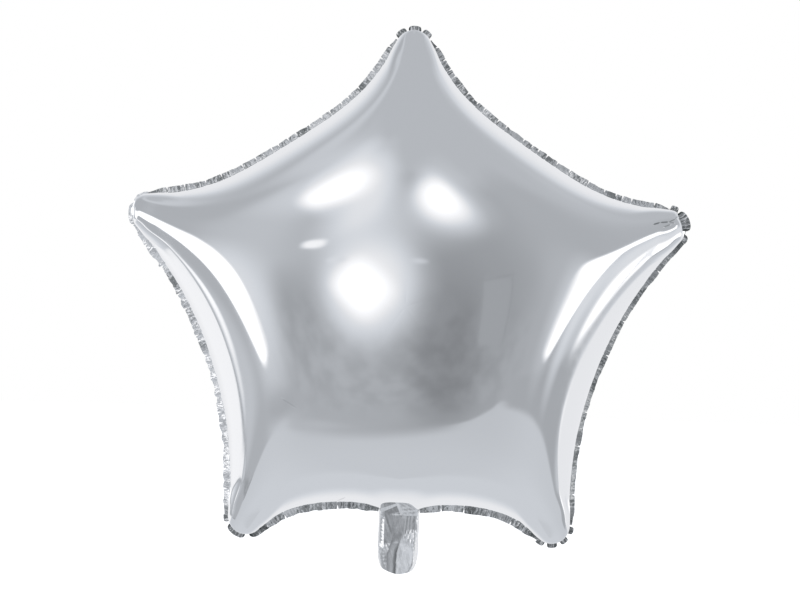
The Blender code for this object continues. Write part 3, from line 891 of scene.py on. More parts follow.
def make_camera(scene, studio):
    """The photograph's view: level, straight at the weld plane, and turned so that the balloon leans."""
    turn = studio.lean
    right = Vector((math.cos(turn), 0, math.sin(turn)))
    up = Vector((-math.sin(turn), 0, math.cos(turn)))
    back = Vector((0, -1, 0))
    camera = bpy.data.objects.new("camera", bpy.data.cameras.new("camera"))
    camera.data.sensor_width = SENSOR_WIDTH
    camera.data.lens = SENSOR_WIDTH * studio.camera_distance / studio.view_width
    camera.data.clip_start = 0.05
    camera.data.clip_end = 100.0
    place = back * studio.camera_distance - right * studio.aim_left + up * studio.aim_up
    camera.matrix_world = Matrix.Translation(place) @ Matrix((right, up, back)).transposed().to_4x4()
    scene.collection.objects.link(camera)
    scene.camera = camera


def film_group():
    """Slight unevenness of stretched foil: a soft tone, a roughness and a height."""
    tree, net, given, out = new_group("film unevenness", {
        "Position": ("vector", (0, 0, 0)), "Roughness": ("number", 0.055)},
        {"Tone": "number", "Roughness": "number", "Height": "number"})
    wide = net.add("TexNoise", {"Vector": given["Position"], "Scale": 9.0, "Detail": 2.0}).outputs["Fac"]
    fine = net.add("TexNoise", {"Vector": given["Position"], "Scale": 160.0, "Detail": 3.0}).outputs["Fac"]
    net.feed(out["Tone"], net.step(wide, 0.25, 0.75, 0.985, 1.0))
    net.feed(out["Roughness"], net.math("MULTIPLY", given["Roughness"], net.step(fine, 0.2, 0.8, 0.8, 1.25)))
    net.feed(out["Height"], net.math("ADD", wide, net.math("MULTIPLY", fine, 0.004)))
    return tree


def crinkle_group():
    """Fine broken lines of crimped foil: a painted shade that is darker along short strokes, and a height.

    The strokes run across the film: long across it and close together along it. They gather in patches.
    """
    tree, net, given, out = new_group("foil crinkle", {
        "Position": ("vector", (0, 0, 0)), "Scale": ("number", 1.0), "Darkness": ("number", 0.5),
        "Cover": ("number", 0.5)}, {"Shade": "number", "Height": "number"})
    strokes = net.add("TexNoise", {
        "Vector": given["Position"], "Scale": given["Scale"], "Detail": 2.5, "Roughness": 0.6,
        "Distortion": 0.3}, noise_dimensions="2D").outputs["Fac"]
    patches = net.add("TexNoise", {
        "Vector": given["Position"], "Scale": net.math("MULTIPLY", given["Scale"], 0.11), "Detail": 1.0},
        noise_dimensions="2D").outputs["Fac"]
    both = net.math("ADD", strokes, net.math("MULTIPLY", patches, 0.9))
    dark = net.step(net.math("SUBTRACT", both, given["Cover"]), 0.55, 0.38)
    net.feed(out["Shade"], net.math("SUBTRACT", 1.0, net.math("MULTIPLY", dark, given["Darkness"])))
    net.feed(out["Height"], strokes)
    return tree


def stroke_group():
    """A thin crease along a straight line between two places: 1 on it, fading to 0 at its half width."""
    tree, net, given, out = new_group("crease stroke", {
        "Position": ("vector", (0, 0, 0)), "Start": ("vector", (0, 0, 0)), "End": ("vector", (1, 0, 0)),
        "Half Width": ("number", 0.001)}, {"Mask": "number"})
    def vector(operation, *values):
        node = net.add("VectorMath", operation=operation)
        for socket, value in zip(node.inputs, values):
            net.feed(socket, value)
        return node
    line = vector("SUBTRACT", given["End"], given["Start"]).outputs[0]
    here = vector("SUBTRACT", given["Position"], given["Start"]).outputs[0]
    share = net.math(
        "DIVIDE", vector("DOT_PRODUCT", here, line).outputs["Value"],
        vector("DOT_PRODUCT", line, line).outputs["Value"], clamp=True)
    foot = net.add("VectorMath", operation="SCALE")
    net.feed(foot.inputs[0], line)
    net.feed(foot.inputs["Scale"], share)
    away = vector("DISTANCE", here, foot.outputs[0]).outputs["Value"]
    taper = net.math("MULTIPLY", net.step(share, 0.0, 0.25, 0.3, 1.0), net.step(share, 1.0, 0.7, 0.3, 1.0))
    mask = net.step(away, net.math("MULTIPLY", given["Half Width"], taper), 0.0)
    net.feed(out["Mask"], mask)
    return tree


# Handling creases of the front film: start and end as x and z, half width, and depth of painted shade
CREASE_STROKES = (
    ((0.1904, 0.0697), (0.1962, 0.0716), 0.0010, 0.75),
    ((0.1962, 0.0716), (0.2033, 0.0724), 0.0010, 0.70),
    ((0.2033, 0.0724), (0.2087, 0.0749), 0.0009, 0.50),
    ((0.2087, 0.0749), (0.2106, 0.0773), 0.0008, 0.40),
    ((0.1983, 0.0677), (0.2057, 0.0709), 0.0009, 0.42),
    ((0.2033, 0.0724), (0.2084, 0.0716), 0.0008, 0.40),
    ((-0.0484, -0.153), (-0.0422, -0.1496), 0.0010, 0.25),
    ((-0.0926, -0.0726), (-0.0805, -0.0801), 0.0012, 0.12),
)


def foil_material(name, finish, groups, strokes):
    """Stretched mirror foil, with a few sharp creases where it was handled, and painted shade along them."""
    material, net, shader = new_material(name)
    place = net.add("TexCoord").outputs["Object"]
    film = net.group(groups["film"], Position=place, Roughness=finish.roughness)
    flat = net.add("VectorMath", operation="MULTIPLY")
    net.feed(flat.inputs[0], place)
    net.feed(flat.inputs[1], (1.0, 0.0, 1.0))
    creased = 0.0
    for start, end, half_width, depth in strokes:
        mask = net.group(
            groups["stroke"], Position=flat.outputs[0], Start=(start[0], 0.0, start[1]),
            End=(end[0], 0.0, end[1]), Half_Width=half_width).outputs["Mask"]
        creased = net.math("MAXIMUM", creased, net.math("MULTIPLY", mask, depth))
    colour = (*finish.foil, 1.0)
    dull = (*[0.93 * value for value in finish.foil], 1.0)
    even = net.tint(film.outputs["Tone"], dull, colour)
    # Painted shade: along the creases the base colour darkens towards the fold shadow colour
    net.feed(shader.inputs["Base Color"], net.tint(creased, even, (*finish.foil_shadow, 1.0)))
    net.feed(shader.inputs["Roughness"], film.outputs["Roughness"])
    bump = net.add("Bump", {"Height": film.outputs["Height"], "Strength": 0.06, "Distance": 0.002})
    fold = net.add("Bump", {"Height": creased, "Strength": 0.5, "Distance": 0.0004})
    net.feed(fold.inputs["Normal"], bump.outputs["Normal"])
    net.feed(shader.inputs["Normal"], fold.outputs["Normal"])
    shader.inputs["Metallic"].default_value = 1.0
    return material


# Darkness is the depth of the painted shade along the crinkle's strokes
Crinkle = namedtuple("Crinkle", "scale stretch darkness cover roughness relief")
CRINKLES = {
    "seam foil": Crinkle(6.5, (1.0, 0.40), 0.72, 0.42, 0.16, 0.35),
    "tab foil": Crinkle(8.0, (1.0, 0.25), 0.65, 0.45, 0.18, 0.35),
    "neck foil": Crinkle(3.0, (1.0, 0.4), 0.10, 0.45, 0.13, 0.05),
}
# How far the strokes lean, in radians
STROKE_LEAN = 0.12


def crinkled_material(name, finish, groups):
    """Crimped or crumpled mirror foil: strokes along the piece's own UV map, and painted shade in its folds.
    """
    look = CRINKLES[name]
    material, net, shader = new_material(name)
    place = net.add("TexCoord").outputs["UV"]
    mapping = net.add(
        "Mapping", {"Vector": place, "Scale": (*look.stretch, 1.0), "Rotation": (0, 0, STROKE_LEAN)})
    # Painted shade: the crinkle's strokes, scaled by the crimp mark, darken the base colour
    crimp = net.add("Attribute", attribute_name="crimp").outputs["Fac"]
    painted_shade_depth = net.math("MULTIPLY", crimp, look.darkness)
    crinkle = net.group(
        groups["crinkle"], Position=mapping.outputs[0], Scale=look.scale, Darkness=painted_shade_depth, Cover=look.cover)
    # The fold mark is painted shade in folds and along seams, which darkens the base colour further
    fold = net.add("Attribute", attribute_name="fold").outputs["Fac"]
    shade = net.math("MULTIPLY", crinkle.outputs["Shade"], net.math("SUBTRACT", 1.0, fold))
    colour = (*finish.foil, 1.0)
    shadow = (*finish.foil_shadow, 1.0)
    net.feed(shader.inputs["Base Color"], net.tint(shade, shadow, colour))
    net.feed(shader.inputs["Roughness"], net.step(shade, 0.0, 1.0, look.roughness * 1.6, look.roughness))
    bump = net.add("Bump", {"Height": crinkle.outputs["Height"], "Strength": look.relief, "Distance": 0.0006})
    net.feed(shader.inputs["Normal"], bump.outputs["Normal"])
    shader.inputs["Metallic"].default_value = 1.0
    return material


def valve_material(finish):
    """Milky plastic film of the valve."""
    material, net, shader = new_material("valve film")
    place = net.add("TexCoord").outputs["Object"]
    cloud = net.add("TexNoise", {"Vector": place, "Scale": 220.0, "Detail": 3.0}).outputs["Fac"]
    dull = (*[0.85 * value for value in finish.valve], 1.0)
    net.feed(shader.inputs["Base Color"], net.tint(cloud, dull, (*finish.valve, 1.0)))
    net.feed(shader.inputs["Roughness"], net.step(cloud, 0.3, 0.7, 0.25, 0.40))
    return material


PANEL_RINGS = 72
# Where a straight crease meets a tip's round end, as shares of the way round it
TIP_CREASES = {"right": (0.18, 0.90), "left": (0.05, 0.62)}
# How far from a tip's centre the fold down along its crease reaches
CREASE_REACH = 0.03
# A tip's own shape counts fully up to the first distance from its centre and not at all past the second
TIP_REACH = (0.0148, 0.0260)
# At a tip the film's height is taken this share further in, which ends it in a short step, and this grows
# over the rings between two shares of the way out
TIP_STEP = 0.0095
TIP_RINGS = (0.90, 0.995)


def tip_weight(star):
    """How far each point of the panel's rim belongs to a tip: 1 on its round end, fading along its edges."""
    away = np.full(len(star.panel_rim), 1.0)
    for name in TIP_NAMES:
        centre = star.centres[name]
        distance = np.linalg.norm(star.panel_rim - centre, axis=1)
        away = np.minimum(away, distance)
    return 1 - ease(away, *TIP_REACH)


def crease_tip(height, flat, star, membrane, name):
    """Folds the end of a tip down along a straight crease between two places on its round end.

    Beyond the crease the height falls evenly from its value on the crease to nothing on the weld.
    """
    run, _ = along_run(star.stretches["tip_" + name], 101)
    start, end = (run[round(share * 100)] for share in TIP_CREASES[name])
    along = unit(end - start)
    across = np.array((-along[1], along[0]))
    across = across * np.sign(np.dot(across, start))
    level = np.dot(start, across)
    reach = flat @ across
    beyond = reach > level
    beyond &= np.linalg.norm(flat - star.centres[name], axis=-1) < CREASE_REACH
    scale = level / np.where(beyond, reach, 1.0)
    foot = membrane.height(flat * np.where(beyond, scale, 1.0)[..., None])
    share = (reach - level) / np.maximum(reach[-1:] - level, 1e-9)
    return np.where(beyond, foot * (1 - share).clip(0, 1), height)


# Height over which the neck's root fades in at its ends, and room between it and the neck's own film
ROOT_FADE = 0.0030
ROOT_ROOM = 0.0006


def neck_root(star, side, neck):
    """Which points of a panel's rim lie on the neck's root, faded out at its ends, and the height there."""
    x, z = star.panel_rim.T
    foot = star.shoulder[0, 1]
    inside = (np.abs(x) < neck.half_width + 1e-6) & (z < 0)
    weight = ease(z - foot, 0.0, ROOT_FADE) * inside
    return weight, (neck_height(x, z, side, star.neck_level, neck) + ROOT_ROOM) * inside


def panel(name, side, star, membrane, film, neck):
    """One blown-up film.

    Rings of points run from the middle of the star out to the weld. Each ring is the outline at a share of
    its size, and the shares follow a sine so that the rings crowd towards the weld, where the film is
    steepest. The height is the membrane's. At the tips the film comes down in one short step, and the left
    and right tips fold down along a straight crease. At the neck's root it rolls down to the neck's own film.
    The inner skin follows the outer one a film's thickness inside it.
    """
    rim = star.panel_rim
    count = len(rim)
    shares = np.sin(np.linspace(0, math.pi / 2, PANEL_RINGS + 1))[1:, None, None]
    flat = shares * rim[None]
    squared = tip_weight(star)[None, :, None] * ease(shares, *TIP_RINGS)
    height = membrane.height(flat * (1 - TIP_STEP * squared))
    for tip in TIP_CREASES:
        height = crease_tip(height, flat, star, membrane, tip)
    at_root, root_height = neck_root(star, side, neck)
    height[-1] = 0.0
    inwards = np.linalg.norm(rim, axis=1)[None] * (1 - shares[..., 0])
    low = np.exp(-inwards / film.root_roll)
    low = (1 - np.sqrt(1 - low)) * at_root
    height = height * (1 - low) + root_height * low
    outer = np.stack((flat[..., 0], height, flat[..., 1]), axis=2)
    around = np.roll(outer, -1, axis=1) - np.roll(outer, 1, axis=1)
    normal = unit(np.cross(around, np.gradient(outer, axis=0)))
    normal *= np.sign(normal[..., 1:2] + 1e-12)
    edge = outward(rim, True)
    normal[-1] = np.stack((edge[:, 0], np.zeros(count), edge[:, 1]), axis=1)
    inner = outer - film.thickness * normal
    inner[-1, :, 1] = outer[-1, :, 1]
    top = np.array(((0.0, film.half_depth, 0.0),))
    vertices = np.concatenate((top, outer.reshape(-1, 3), top - (0, film.thickness, 0), inner.reshape(-1, 3)))
    vertices[:, 1] = (vertices[:, 1] + film.gap / 2) * side
    column = np.arange(count)
    beside = (column + 1) % count
    skin = 1 + PANEL_RINGS * count
    last = 1 + (PANEL_RINGS - 1) * count
    faces = []
    for start, flip in ((0, side > 0), (skin, side < 0)):
        fan = np.stack((np.full(count, start), start + 1 + beside, start + 1 + column), axis=1)
        quads = ring_quads(PANEL_RINGS, count, start + 1)
        faces += (fan[:, ::-1] if flip else fan).tolist()
        faces += (quads[:, ::-1] if flip else quads).tolist()
    wall = np.stack((last + column, last + beside, skin + last + beside, skin + last + column), axis=1)
    faces += (wall if side < 0 else wall[:, ::-1]).tolist()
    return new_object(name, vertices, faces, vertices[:, (0, 2)], True)


FLANGE_ROWS = 9
FLANGE_STEP = 0.00034
# How far a flange runs on inwards between the two films
FLANGE_TUCK = 0.0008
# Distance between the places where the curl is drawn anew, and the share by which it changes
CURL_GAP = 0.011
CURL_CHANGE = 0.55
# How far the folds wander along the run
FOLD_WANDER = 0.0022
# Count, longest, shortest and spread of the broad ruffles and the fine crimps
RUFFLES = (3, 0.0125, 0.0070, 0.25)
CRIMPS = (5, 0.0050, 0.0018, 0.45)
# UV places are in centimetres
UV_SCALE = 100


def knots_along(total, gap):
    """Places about a gap apart along a run, from one end to the other."""
    return np.linspace(0, total, max(4, int(total / gap)))


def flange(name, points, profile, looks, seed, seams, fold):
    """A welded flange that stands out from a run of the weld line.

    Each point is the weld line plus the flange's own direction times the width there. That direction is the
    line's outward normal, curled back by an angle that wanders along the run and grows from nothing over the
    given reach at each end. Broad ruffles and fine crimps wave to and fro across it, and both grow from the
    weld to the free edge. Its looks are two functions of the place along it: a painted shade, and the
    contrast of the crimps' painted shade.
    """
    ruffle, crimp, curl, flat_ends = fold
    dark, contrast = looks
    rng = np.random.default_rng(seed)
    total = np.linalg.norm(np.diff(points, axis=0), axis=1).sum()
    grid = (FLANGE_ROWS, int(total / FLANGE_STEP))
    base, place = along_run(points, grid[1])
    normal = outward(base, False)
    share = np.linspace(0, 1, FLANGE_ROWS)[:, None]
    knots = knots_along(total, CURL_GAP)
    angle = curl * (1 + CURL_CHANGE * np.interp(place, knots, rng.uniform(-1, 1, len(knots))))
    for reach, way in zip(flat_ends, (place, total - place)):
        if reach:
            angle = angle * ease(way, 0.0, reach)
    length = profile(place, total) / np.cos(0.6 * angle)
    out = -FLANGE_TUCK + share * (length[None] + FLANGE_TUCK)
    depth = out.clip(0)
    wander = np.interp(place, knots, rng.uniform(-FOLD_WANDER, FOLD_WANDER, len(knots)))
    along = np.broadcast_to(place + wander, grid)
    broad = Creases(seed, *RUFFLES)
    fine = Creases(seed + 1, *CRIMPS)
    growth = (depth / seams.width) ** 0.8
    sway = seams.ruffle * ruffle * broad.height(along, depth)
    sway = sway + seams.crimp * crimp * fine.height(along, depth)
    side = out * np.cos(angle) - sway * growth * np.sin(angle) * (depth > 0)
    back = depth * np.sin(angle) + sway * growth * np.cos(angle)
    centre = np.stack((base[:, 0] + normal[:, 0] * side, back, base[:, 1] + normal[:, 1] * side), axis=2)
    uv = np.stack((np.broadcast_to(place * UV_SCALE, grid), depth * UV_SCALE), axis=2)
    crimps = np.broadcast_to(contrast(place, total)[None], grid)
    # Painted shade: darker along the bottoms of the fine crimps, combined with the run's own painted shade
    shade = 0.5 * fine.valleys(along, depth, 0.20) * np.minimum(1, growth * 3) * crimps
    shade = shade + dark(place, total)[None] * (1 - shade)
    return sheet(name, centre, seams.film, uv, {"fold": shade, "crimp": crimps})


# Distance between the places where a seam's width is drawn anew, and the share by which it changes
SCALLOP_GAP = 0.008
SCALLOP_CHANGE = 0.08
# Lowest and highest distance between two notches, in shares of the given one
NOTCH_SPREAD = (0.45, 1.55)
NOTCH_HALF_WIDTH = 0.0006
NOTCH_DEPTH = 0.75
# Distance over which a seam's end grows to its full width
END_GROWTH = 0.012


def seam_profile(width, seed, ends, gaps):
    """Width of a seam along its run: slightly scalloped, and notched here and there.

    The notches are narrow folds where the flange tucks in, at uneven distances about the given gap apart.
    Each end starts at its own share of the width and grows to the whole of it.
    """
    def profile(place, total):
        rng = np.random.default_rng(seed)
        knots = knots_along(total, SCALLOP_GAP)
        scallop = 1 + SCALLOP_CHANGE * np.interp(place, knots, rng.uniform(-1, 1, len(knots)))
        notches = np.cumsum(rng.uniform(*NOTCH_SPREAD, int(total / gaps) + 8)) * gaps
        beside = np.abs(place[:, None] - notches[None]).min(axis=1)
        notch = 1 - NOTCH_DEPTH * np.clip(1 - beside / NOTCH_HALF_WIDTH, 0, 1)
        grown = np.ones(len(place))
        for share, way in zip(ends, (place, total - place)):
            grown = np.minimum(grown, share + (1 - share) * ease(way, 0.0, END_GROWTH))
        return width * scallop * notch * grown
    return profile


# How far from a seam's end its own painted shade reaches
END_SHADE_REACH = (0.001, 0.014)
# Distance between the places where the crimps' contrast is drawn anew, and its lowest and highest value
CONTRAST_GAP = 0.009
CONTRAST_RANGE = (0.60, 1.0)
# How softly a pale stretch starts and ends, as a share of the run
PALE_FADE = 0.04


def seam_looks(seed, even, ends, pale):
    """Painted shade and contrast of a seam along its run.

    The painted shade is even, and deeper towards the ends that are drawn together, by each end's own depth.
    The contrast wanders, and the pale stretches, given as start, end and contrast in shares of the run, have
    less of it.
    """
    def dark(place, total):
        depths = [
            depth * (1 - ease(way, *END_SHADE_REACH)) for depth, way in zip(ends, (place, total - place))]
        return np.maximum(even, np.maximum(*depths))

    def contrast(place, total):
        knots = knots_along(total, CONTRAST_GAP)
        drawn = np.random.default_rng(seed + 3).uniform(*CONTRAST_RANGE, len(knots))
        value = np.interp(place, knots, drawn)
        for start, end, level in pale:
            first = ease(place / total, start - PALE_FADE, start)
            last = ease(place / total, end, end + PALE_FADE)
            value = value * (1 - first * (1 - last) * (1 - level))
        return value
    return dark, contrast


# Share of the full width, curl in degrees, strengths of ruffles and crimps, distance between notches, and for
# the two ends: the share of the width that they start at, their depth of painted shade, and how far they lie
# flat
SeamForm = namedtuple("SeamForm", "width curl ruffle crimp gaps ends dark_ends flat_ends")
SEAM_FORMS = {
    "seam_upper_right": SeamForm(0.80, 24.0, 0.55, 0.6, 0.012, (0.30, 0.30), (0.35, 0.55), (0.012, 0.012)),
    "seam_right": SeamForm(0.74, 28.0, 0.35, 0.5, 0.034, (0.95, 0.55), (0.75, 0.45), (0.022, 0.010)),
    "seam_lower_right": SeamForm(0.95, 18.0, 0.8, 0.8, 0.030, (0.45, 0.60), (0.55, 0.35), (0.012, 0)),
    "seam_lower_left": SeamForm(0.95, 18.0, 0.8, 0.8, 0.030, (0.60, 0.75), (0.35, 0.70), (0, 0.012)),
    "seam_left": SeamForm(0.95, 34.0, 1.0, 0.9, 0.018, (0.60, 0.40), (0.45, 0.05), (0.010, 0)),
    "seam_upper_left": SeamForm(0.80, 24.0, 0.55, 0.6, 0.012, (0.30, 0.45), (0.45, 0.45), (0.010, 0.012)),
}
# Even painted shade along the seams, and stretches of them whose crimps get less painted shade
SEAM_SHADES = {"upper": 0.12, "right": 0.42, "lower": 0.15, "left": 0.0}
PALE_STRETCHES = {
    "seam_left": ((-0.1, 0.52, 0.18), (0.86, 1.1, 0.15)),
    "seam_right": ((0.0, 0.16, 0.55),),
}
# Start and end of each tab round a tip, as shares of the way round it
TAB_LOBES = {
    "top": ((0.05, 0.32), (0.37, 0.67), (0.71, 0.94)),
    "right": ((0.02, 0.20), (0.24, 0.73), (0.82, 1.30)),
    "lower_right": ((0.04, 0.20), (0.29, 0.47), (0.54, 0.76), (0.82, 1.04)),
    "lower_left": ((-0.40, 0.25), (0.34, 0.78), (0.84, 1.03)),
    "left": ((0.01, 0.54), (0.61, 1.02)),
}
# Curl in degrees, and share of the full width
TAB_CURLS = {"top": 4.0, "right": 0.0, "lower_right": 4.0, "lower_left": 4.0, "left": 40.0}
TAB_WIDTHS = {"top": 0.95, "right": 1.0, "lower_right": 0.90, "lower_left": 0.95, "left": 0.80}
# Depth of the tabs' painted shade and contrast, and strengths of their ruffles and crimps
TAB_DEPTHS = {"top": 1.0, "right": 1.0, "lower_right": 1.0, "lower_left": 1.0, "left": 0.12}
TAB_RUFFLE = 0.25
TAB_CRIMP = 0.9
# Distance between the painted dark ribs across the tabs
TAB_RIB_GAP = 0.0019


def lobe_place(place, total, lobes):
    """The nearest lobe's own place at each point of a run: -1 at its start, 0 in its middle, 1 at its end."""
    share = (place / total)[:, None]
    start, end = np.asarray(lobes).T
    inside = (2 * share - start - end) / (end - start)
    nearest = np.abs(inside).argmin(axis=1)
    return np.take_along_axis(inside, nearest[:, None], axis=1)[:, 0]


def tab_profile(width, lobes):
    """Width round a tip: lobes with round ends, and hardly anything between them."""
    def profile(place, total):
        inside = np.abs(lobe_place(place, total, lobes)).clip(0, 1)
        return width * (0.05 + 0.95 * np.sqrt(1 - inside ** 5))
    return profile


def tab_looks(lobes, depth):
    """Painted shade and contrast round a tip: deep at the lobes' ends, with painted dark ribs across them."""
    def dark(place, total):
        inside = np.abs(lobe_place(place, total, lobes))
        ribs = ease(triangle_wave(place / TAB_RIB_GAP), 0.2, 0.9)
        return depth * np.clip(0.85 * ease(inside, 0.60, 0.97) + 0.45 * ribs, 0, 0.9)

    def contrast(place, total):
        return np.full(len(place), depth)
    return dark, contrast


def neck_half_width(z, neck):
    """Half the neck's width at a height: straight sides, then a rounded end."""
    into = np.clip((neck.bottom + neck.end_round - z) / neck.end_round, 0, 1)
    narrow = neck.half_width - neck.end_half_width
    return neck.half_width - narrow * (1 - np.sqrt(1 - into ** 2))


# Straight folds of the neck's films in millimetres: x and z of both ends, half width and height
NECK_FOLDS = (
    (6.5, 4.0, 4.6, -20.0, 0.9, 0.14),
    (8.8, 2.0, 7.2, -22.0, 0.9, 0.16),
    (11.2, 1.0, 10.0, -24.0, 0.9, 0.16),
    (-12.0, 0.0, -6.5, -16.0, 1.6, 0.16),
    (-9.5, -24.0, -4.5, -34.0, 1.6, 0.12),
)


def fold_height(x, z, folds):
    """Height of straight folds: each is a tent along a line between two places."""
    total = np.zeros(np.broadcast(x, z).shape)
    for x0, z0, x1, z1, half, height in folds:
        start, end = np.array((x0, z0)) / 1000, np.array((x1, z1)) / 1000
        length = np.linalg.norm(end - start)
        along = unit(end - start)
        run = (x - start[0]) * along[0] + (z - start[1]) * along[1]
        away = np.abs((x - start[0]) * along[1] - (z - start[1]) * along[0])
        ends = ease(run, -0.001, 0.003) * ease(length - run, -0.001, 0.003)
        total += height / 1000 * np.clip(1 - away * 1000 / half, 0, 1) * ends
    return total


def flap_height(u, v):
    """Height of the creased film at the front of the neck's root, in millimetres, as are the two places.

    On the left a flat flap ends along a slanting line, and below it the film comes down in a short steep
    band. On the right the film comes down in one long even slope. A slanting line parts the two.
    """
    edge = 4.0 + (u + 12.8) * 0.324
    band = 3.4 - 0.15 * (u + 12.8).clip(0, 12)
    flap = 1.3 * np.clip((v - edge) / band + 1, 0, 1) + 0.12 * (v - edge).clip(0) - 0.10 * (u + 8)
    slope = 0.30 * np.clip(v + 2.0, 0, 12)
    right = ease(u - (-2.3 + (9.0 - v) * 0.45), -1.4, 1.4)
    return (1 - right) * flap * ease(v, -2.0, 1.0) + right * slope


def neck_height(x, z, side, level, neck):
    """Distance of a neck film from the weld plane at places across and up.

    It is the mouth's half opening plus what the root adds, and comes down to the weld at the margins: first
    along a flat facet, whose slope changes with the height, and then in one short step.
    """
    u, v = x * 1000, (z - level) * 1000
    height = neck.mouth + neck.root * (v + 24.0).clip(0) / 26.0
    if side < 0:
        height = height + flap_height(u, v) / 1000
        left = 0.16 + 0.46 * ease(v, -31.0, -26.0) * (1 - ease(v, -5.0, -1.5))
        right = 0.16 + 0.46 * ease(v, -43.0, -39.0) * (1 - ease(v, -16.0, -12.0))
        slope = np.where(x < 0, left, right)
        facet = np.where(x < 0, 0.0043, 0.0036)
    else:
        slope, facet = 0.35, 0.0045
    beside = neck_half_width(z, neck) - np.abs(x)
    return (height - slope * (facet - beside).clip(0, None)) * ease(beside, 0.0002, 0.0011)


def tongue_height(u, v):
    """Height of the tilted tongue at the front of the neck, in millimetres from the middle and the weld.

    From a line that slants down to the left, the film first lies low and then climbs evenly to the right.
    """
    line = np.interp(-v, (13.0, 22.0, 32.5, 50.0), (4.2, 1.7, -1.2, -1.4))
    deep = ease(-v, 13.0, 30.0)
    left = -1.9 * deep * ease(u, line - 7.5, line)
    climb = 0.40 * (u - line).clip(0, 13.0) * ease(-v, 12.0, 22.0)
    return np.where(u < line, left, -1.9 * deep + climb)


# Rows down and columns across
NECK_GRID = (190, 110)
VALVE_GRID = (60, 14)
# Thickness of the films as they show
NECK_THICKNESS = 0.0003
VALVE_THICKNESS = 0.0004


def neck_film(name, side, star, film, neck):
    """One of the neck's two films, from behind the panel's edge at its root down to the open mouth.

    The two parameters run across the neck and down it. The film hangs flat, open in the middle and welded at
    its margins. The front film has its creased root, a tilted tongue, folds and creases. Painted shade
    darkens the bottoms of the small creases, and a painted shadow streak runs down a valley of the front
    film.
    """
    share = np.linspace(-1, 1, NECK_GRID[1])[None]
    down = np.linspace(0, 1, NECK_GRID[0])[:, None]
    level = star.neck_level
    root = star.shoulder[::-1]
    top = np.interp(share * neck.half_width, root[:, 0], root[:, 1]) + neck.tuck
    end = neck.bottom + np.where(share < 0, 0.0050, 0.0032) * np.abs(share) ** 2.2
    z = top + (end - top) * down
    half = neck_half_width(z, neck)
    x = share * half
    u, v = x * 1000, (z - level) * 1000
    seed = 41 if side < 0 else 57
    wide = Creases(seed, 8, 0.024, 0.0045, math.pi / 2).height(x, z)
    small = Creases(seed + 2, 5, 0.0042, 0.0018, math.pi / 2)
    margin = ease(np.abs(x), 0.62 * half, 0.84 * half)
    folds = fold_height(x, z - level, NECK_FOLDS)
    crumpled = 0.12 + 0.35 * margin
    height = neck_height(x, z, side, level, neck) + film.gap / 2 + NECK_THICKNESS
    inside = ease(half - np.abs(x), 0.0006, 0.0030)
    if side < 0:
        crumpled = np.maximum(crumpled, 0.75 * ease(v, -3.0, 2.0) * ease(u, -2.0, 2.0))
        crumpled = np.maximum(crumpled, 0.35 * ease(v, -1.0, 3.0))
        height = height + tongue_height(u, v) / 1000 * inside
    crumple = 0.22 * neck.crumple * wide + 0.00020 * small.height(x, z) * crumpled + folds * (side < 0)
    height = height + (0.0004 + crumple).clip(0) * inside
    centre = np.stack((x, side * height, z), axis=2)
    # Painted shade along the bottoms of the small creases, stronger where the film is crumpled
    shade = 0.30 * small.valleys(x, z, 0.12) * np.minimum(crumpled, 1)
    if side < 0:
        # Painted shadow: a dark streak down a valley of the front film
        valley = np.interp(-v, (22.0, 32.5, 50.0), (0.6, -2.1, -2.4)) + 0.2 * np.sin(v * 0.7)
        painted_valley_shadow = ease(-v, 24.0, 32.0) * (1 - ease(np.abs(u - valley), 0.6, 2.1))
        shade = np.maximum(shade, 0.80 * painted_valley_shadow * (0.6 + 0.4 * triangle_wave(v / 14.0 + u)))
    if side > 0:
        centre, shade = centre[:, ::-1], shade[:, ::-1]
    uv = centre[..., (0, 2)] * UV_SCALE
    return sheet(name, centre, NECK_THICKNESS, uv, {"fold": shade, "crimp": np.ones(shade.shape)})


def valve_film():
    """The flat inner sleeve of the valve, welded to the back film of the neck."""
    low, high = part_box("valve_sleeve")
    x = np.linspace(low.x, high.x, VALVE_GRID[1])[None]
    z = np.linspace(high.z, low.z, VALVE_GRID[0])[:, None]
    middle = (low.y + high.y) / 2
    ripple = 0.00018 * Creases(5, 5, 0.012, 0.004, math.pi / 2).height(x + 0 * z, z + 0 * x)
    centre = np.stack((x + 0 * z, middle + ripple, z + 0 * x), axis=2)
    uv = centre[..., (0, 2)] * UV_SCALE
    return sheet("valve_film", centre, VALVE_THICKNESS, uv, {})


def star_of(scene):
    """The weld line for the scene's sizes."""
    return Star(scene.balloon_outline, scene.balloon_neck.half_width, TAB_ROOM)


def shared_groups():
    """The node groups that several materials use, made once."""
    made = bpy.data.node_groups
    return {
        "film": made.get("film unevenness") or film_group(),
        "crinkle": made.get("foil crinkle") or crinkle_group(),
        "stroke": made.get("crease stroke") or stroke_group(),
    }


class BALLOON_OT_panels(bpy.types.Operator):
    """Build the front and back films"""

    bl_idname = "balloon.panels"
    bl_label = "Panels"

    def execute(self, context):
        scene = context.scene
        star = star_of(scene)
        membrane = Membrane(star, scene.balloon_film)
        for name, side in (("front", -1.0), ("back", 1.0)):
            piece = panel(name + "_film", side, star, membrane, scene.balloon_film, scene.balloon_neck)
            strokes = CREASE_STROKES if side < 0 else ()
            material = foil_material(name + " foil", scene.balloon_finish, shared_groups(), strokes)
            dress(piece, material, name + "_foil", name + "_panel")
        return {"FINISHED"}


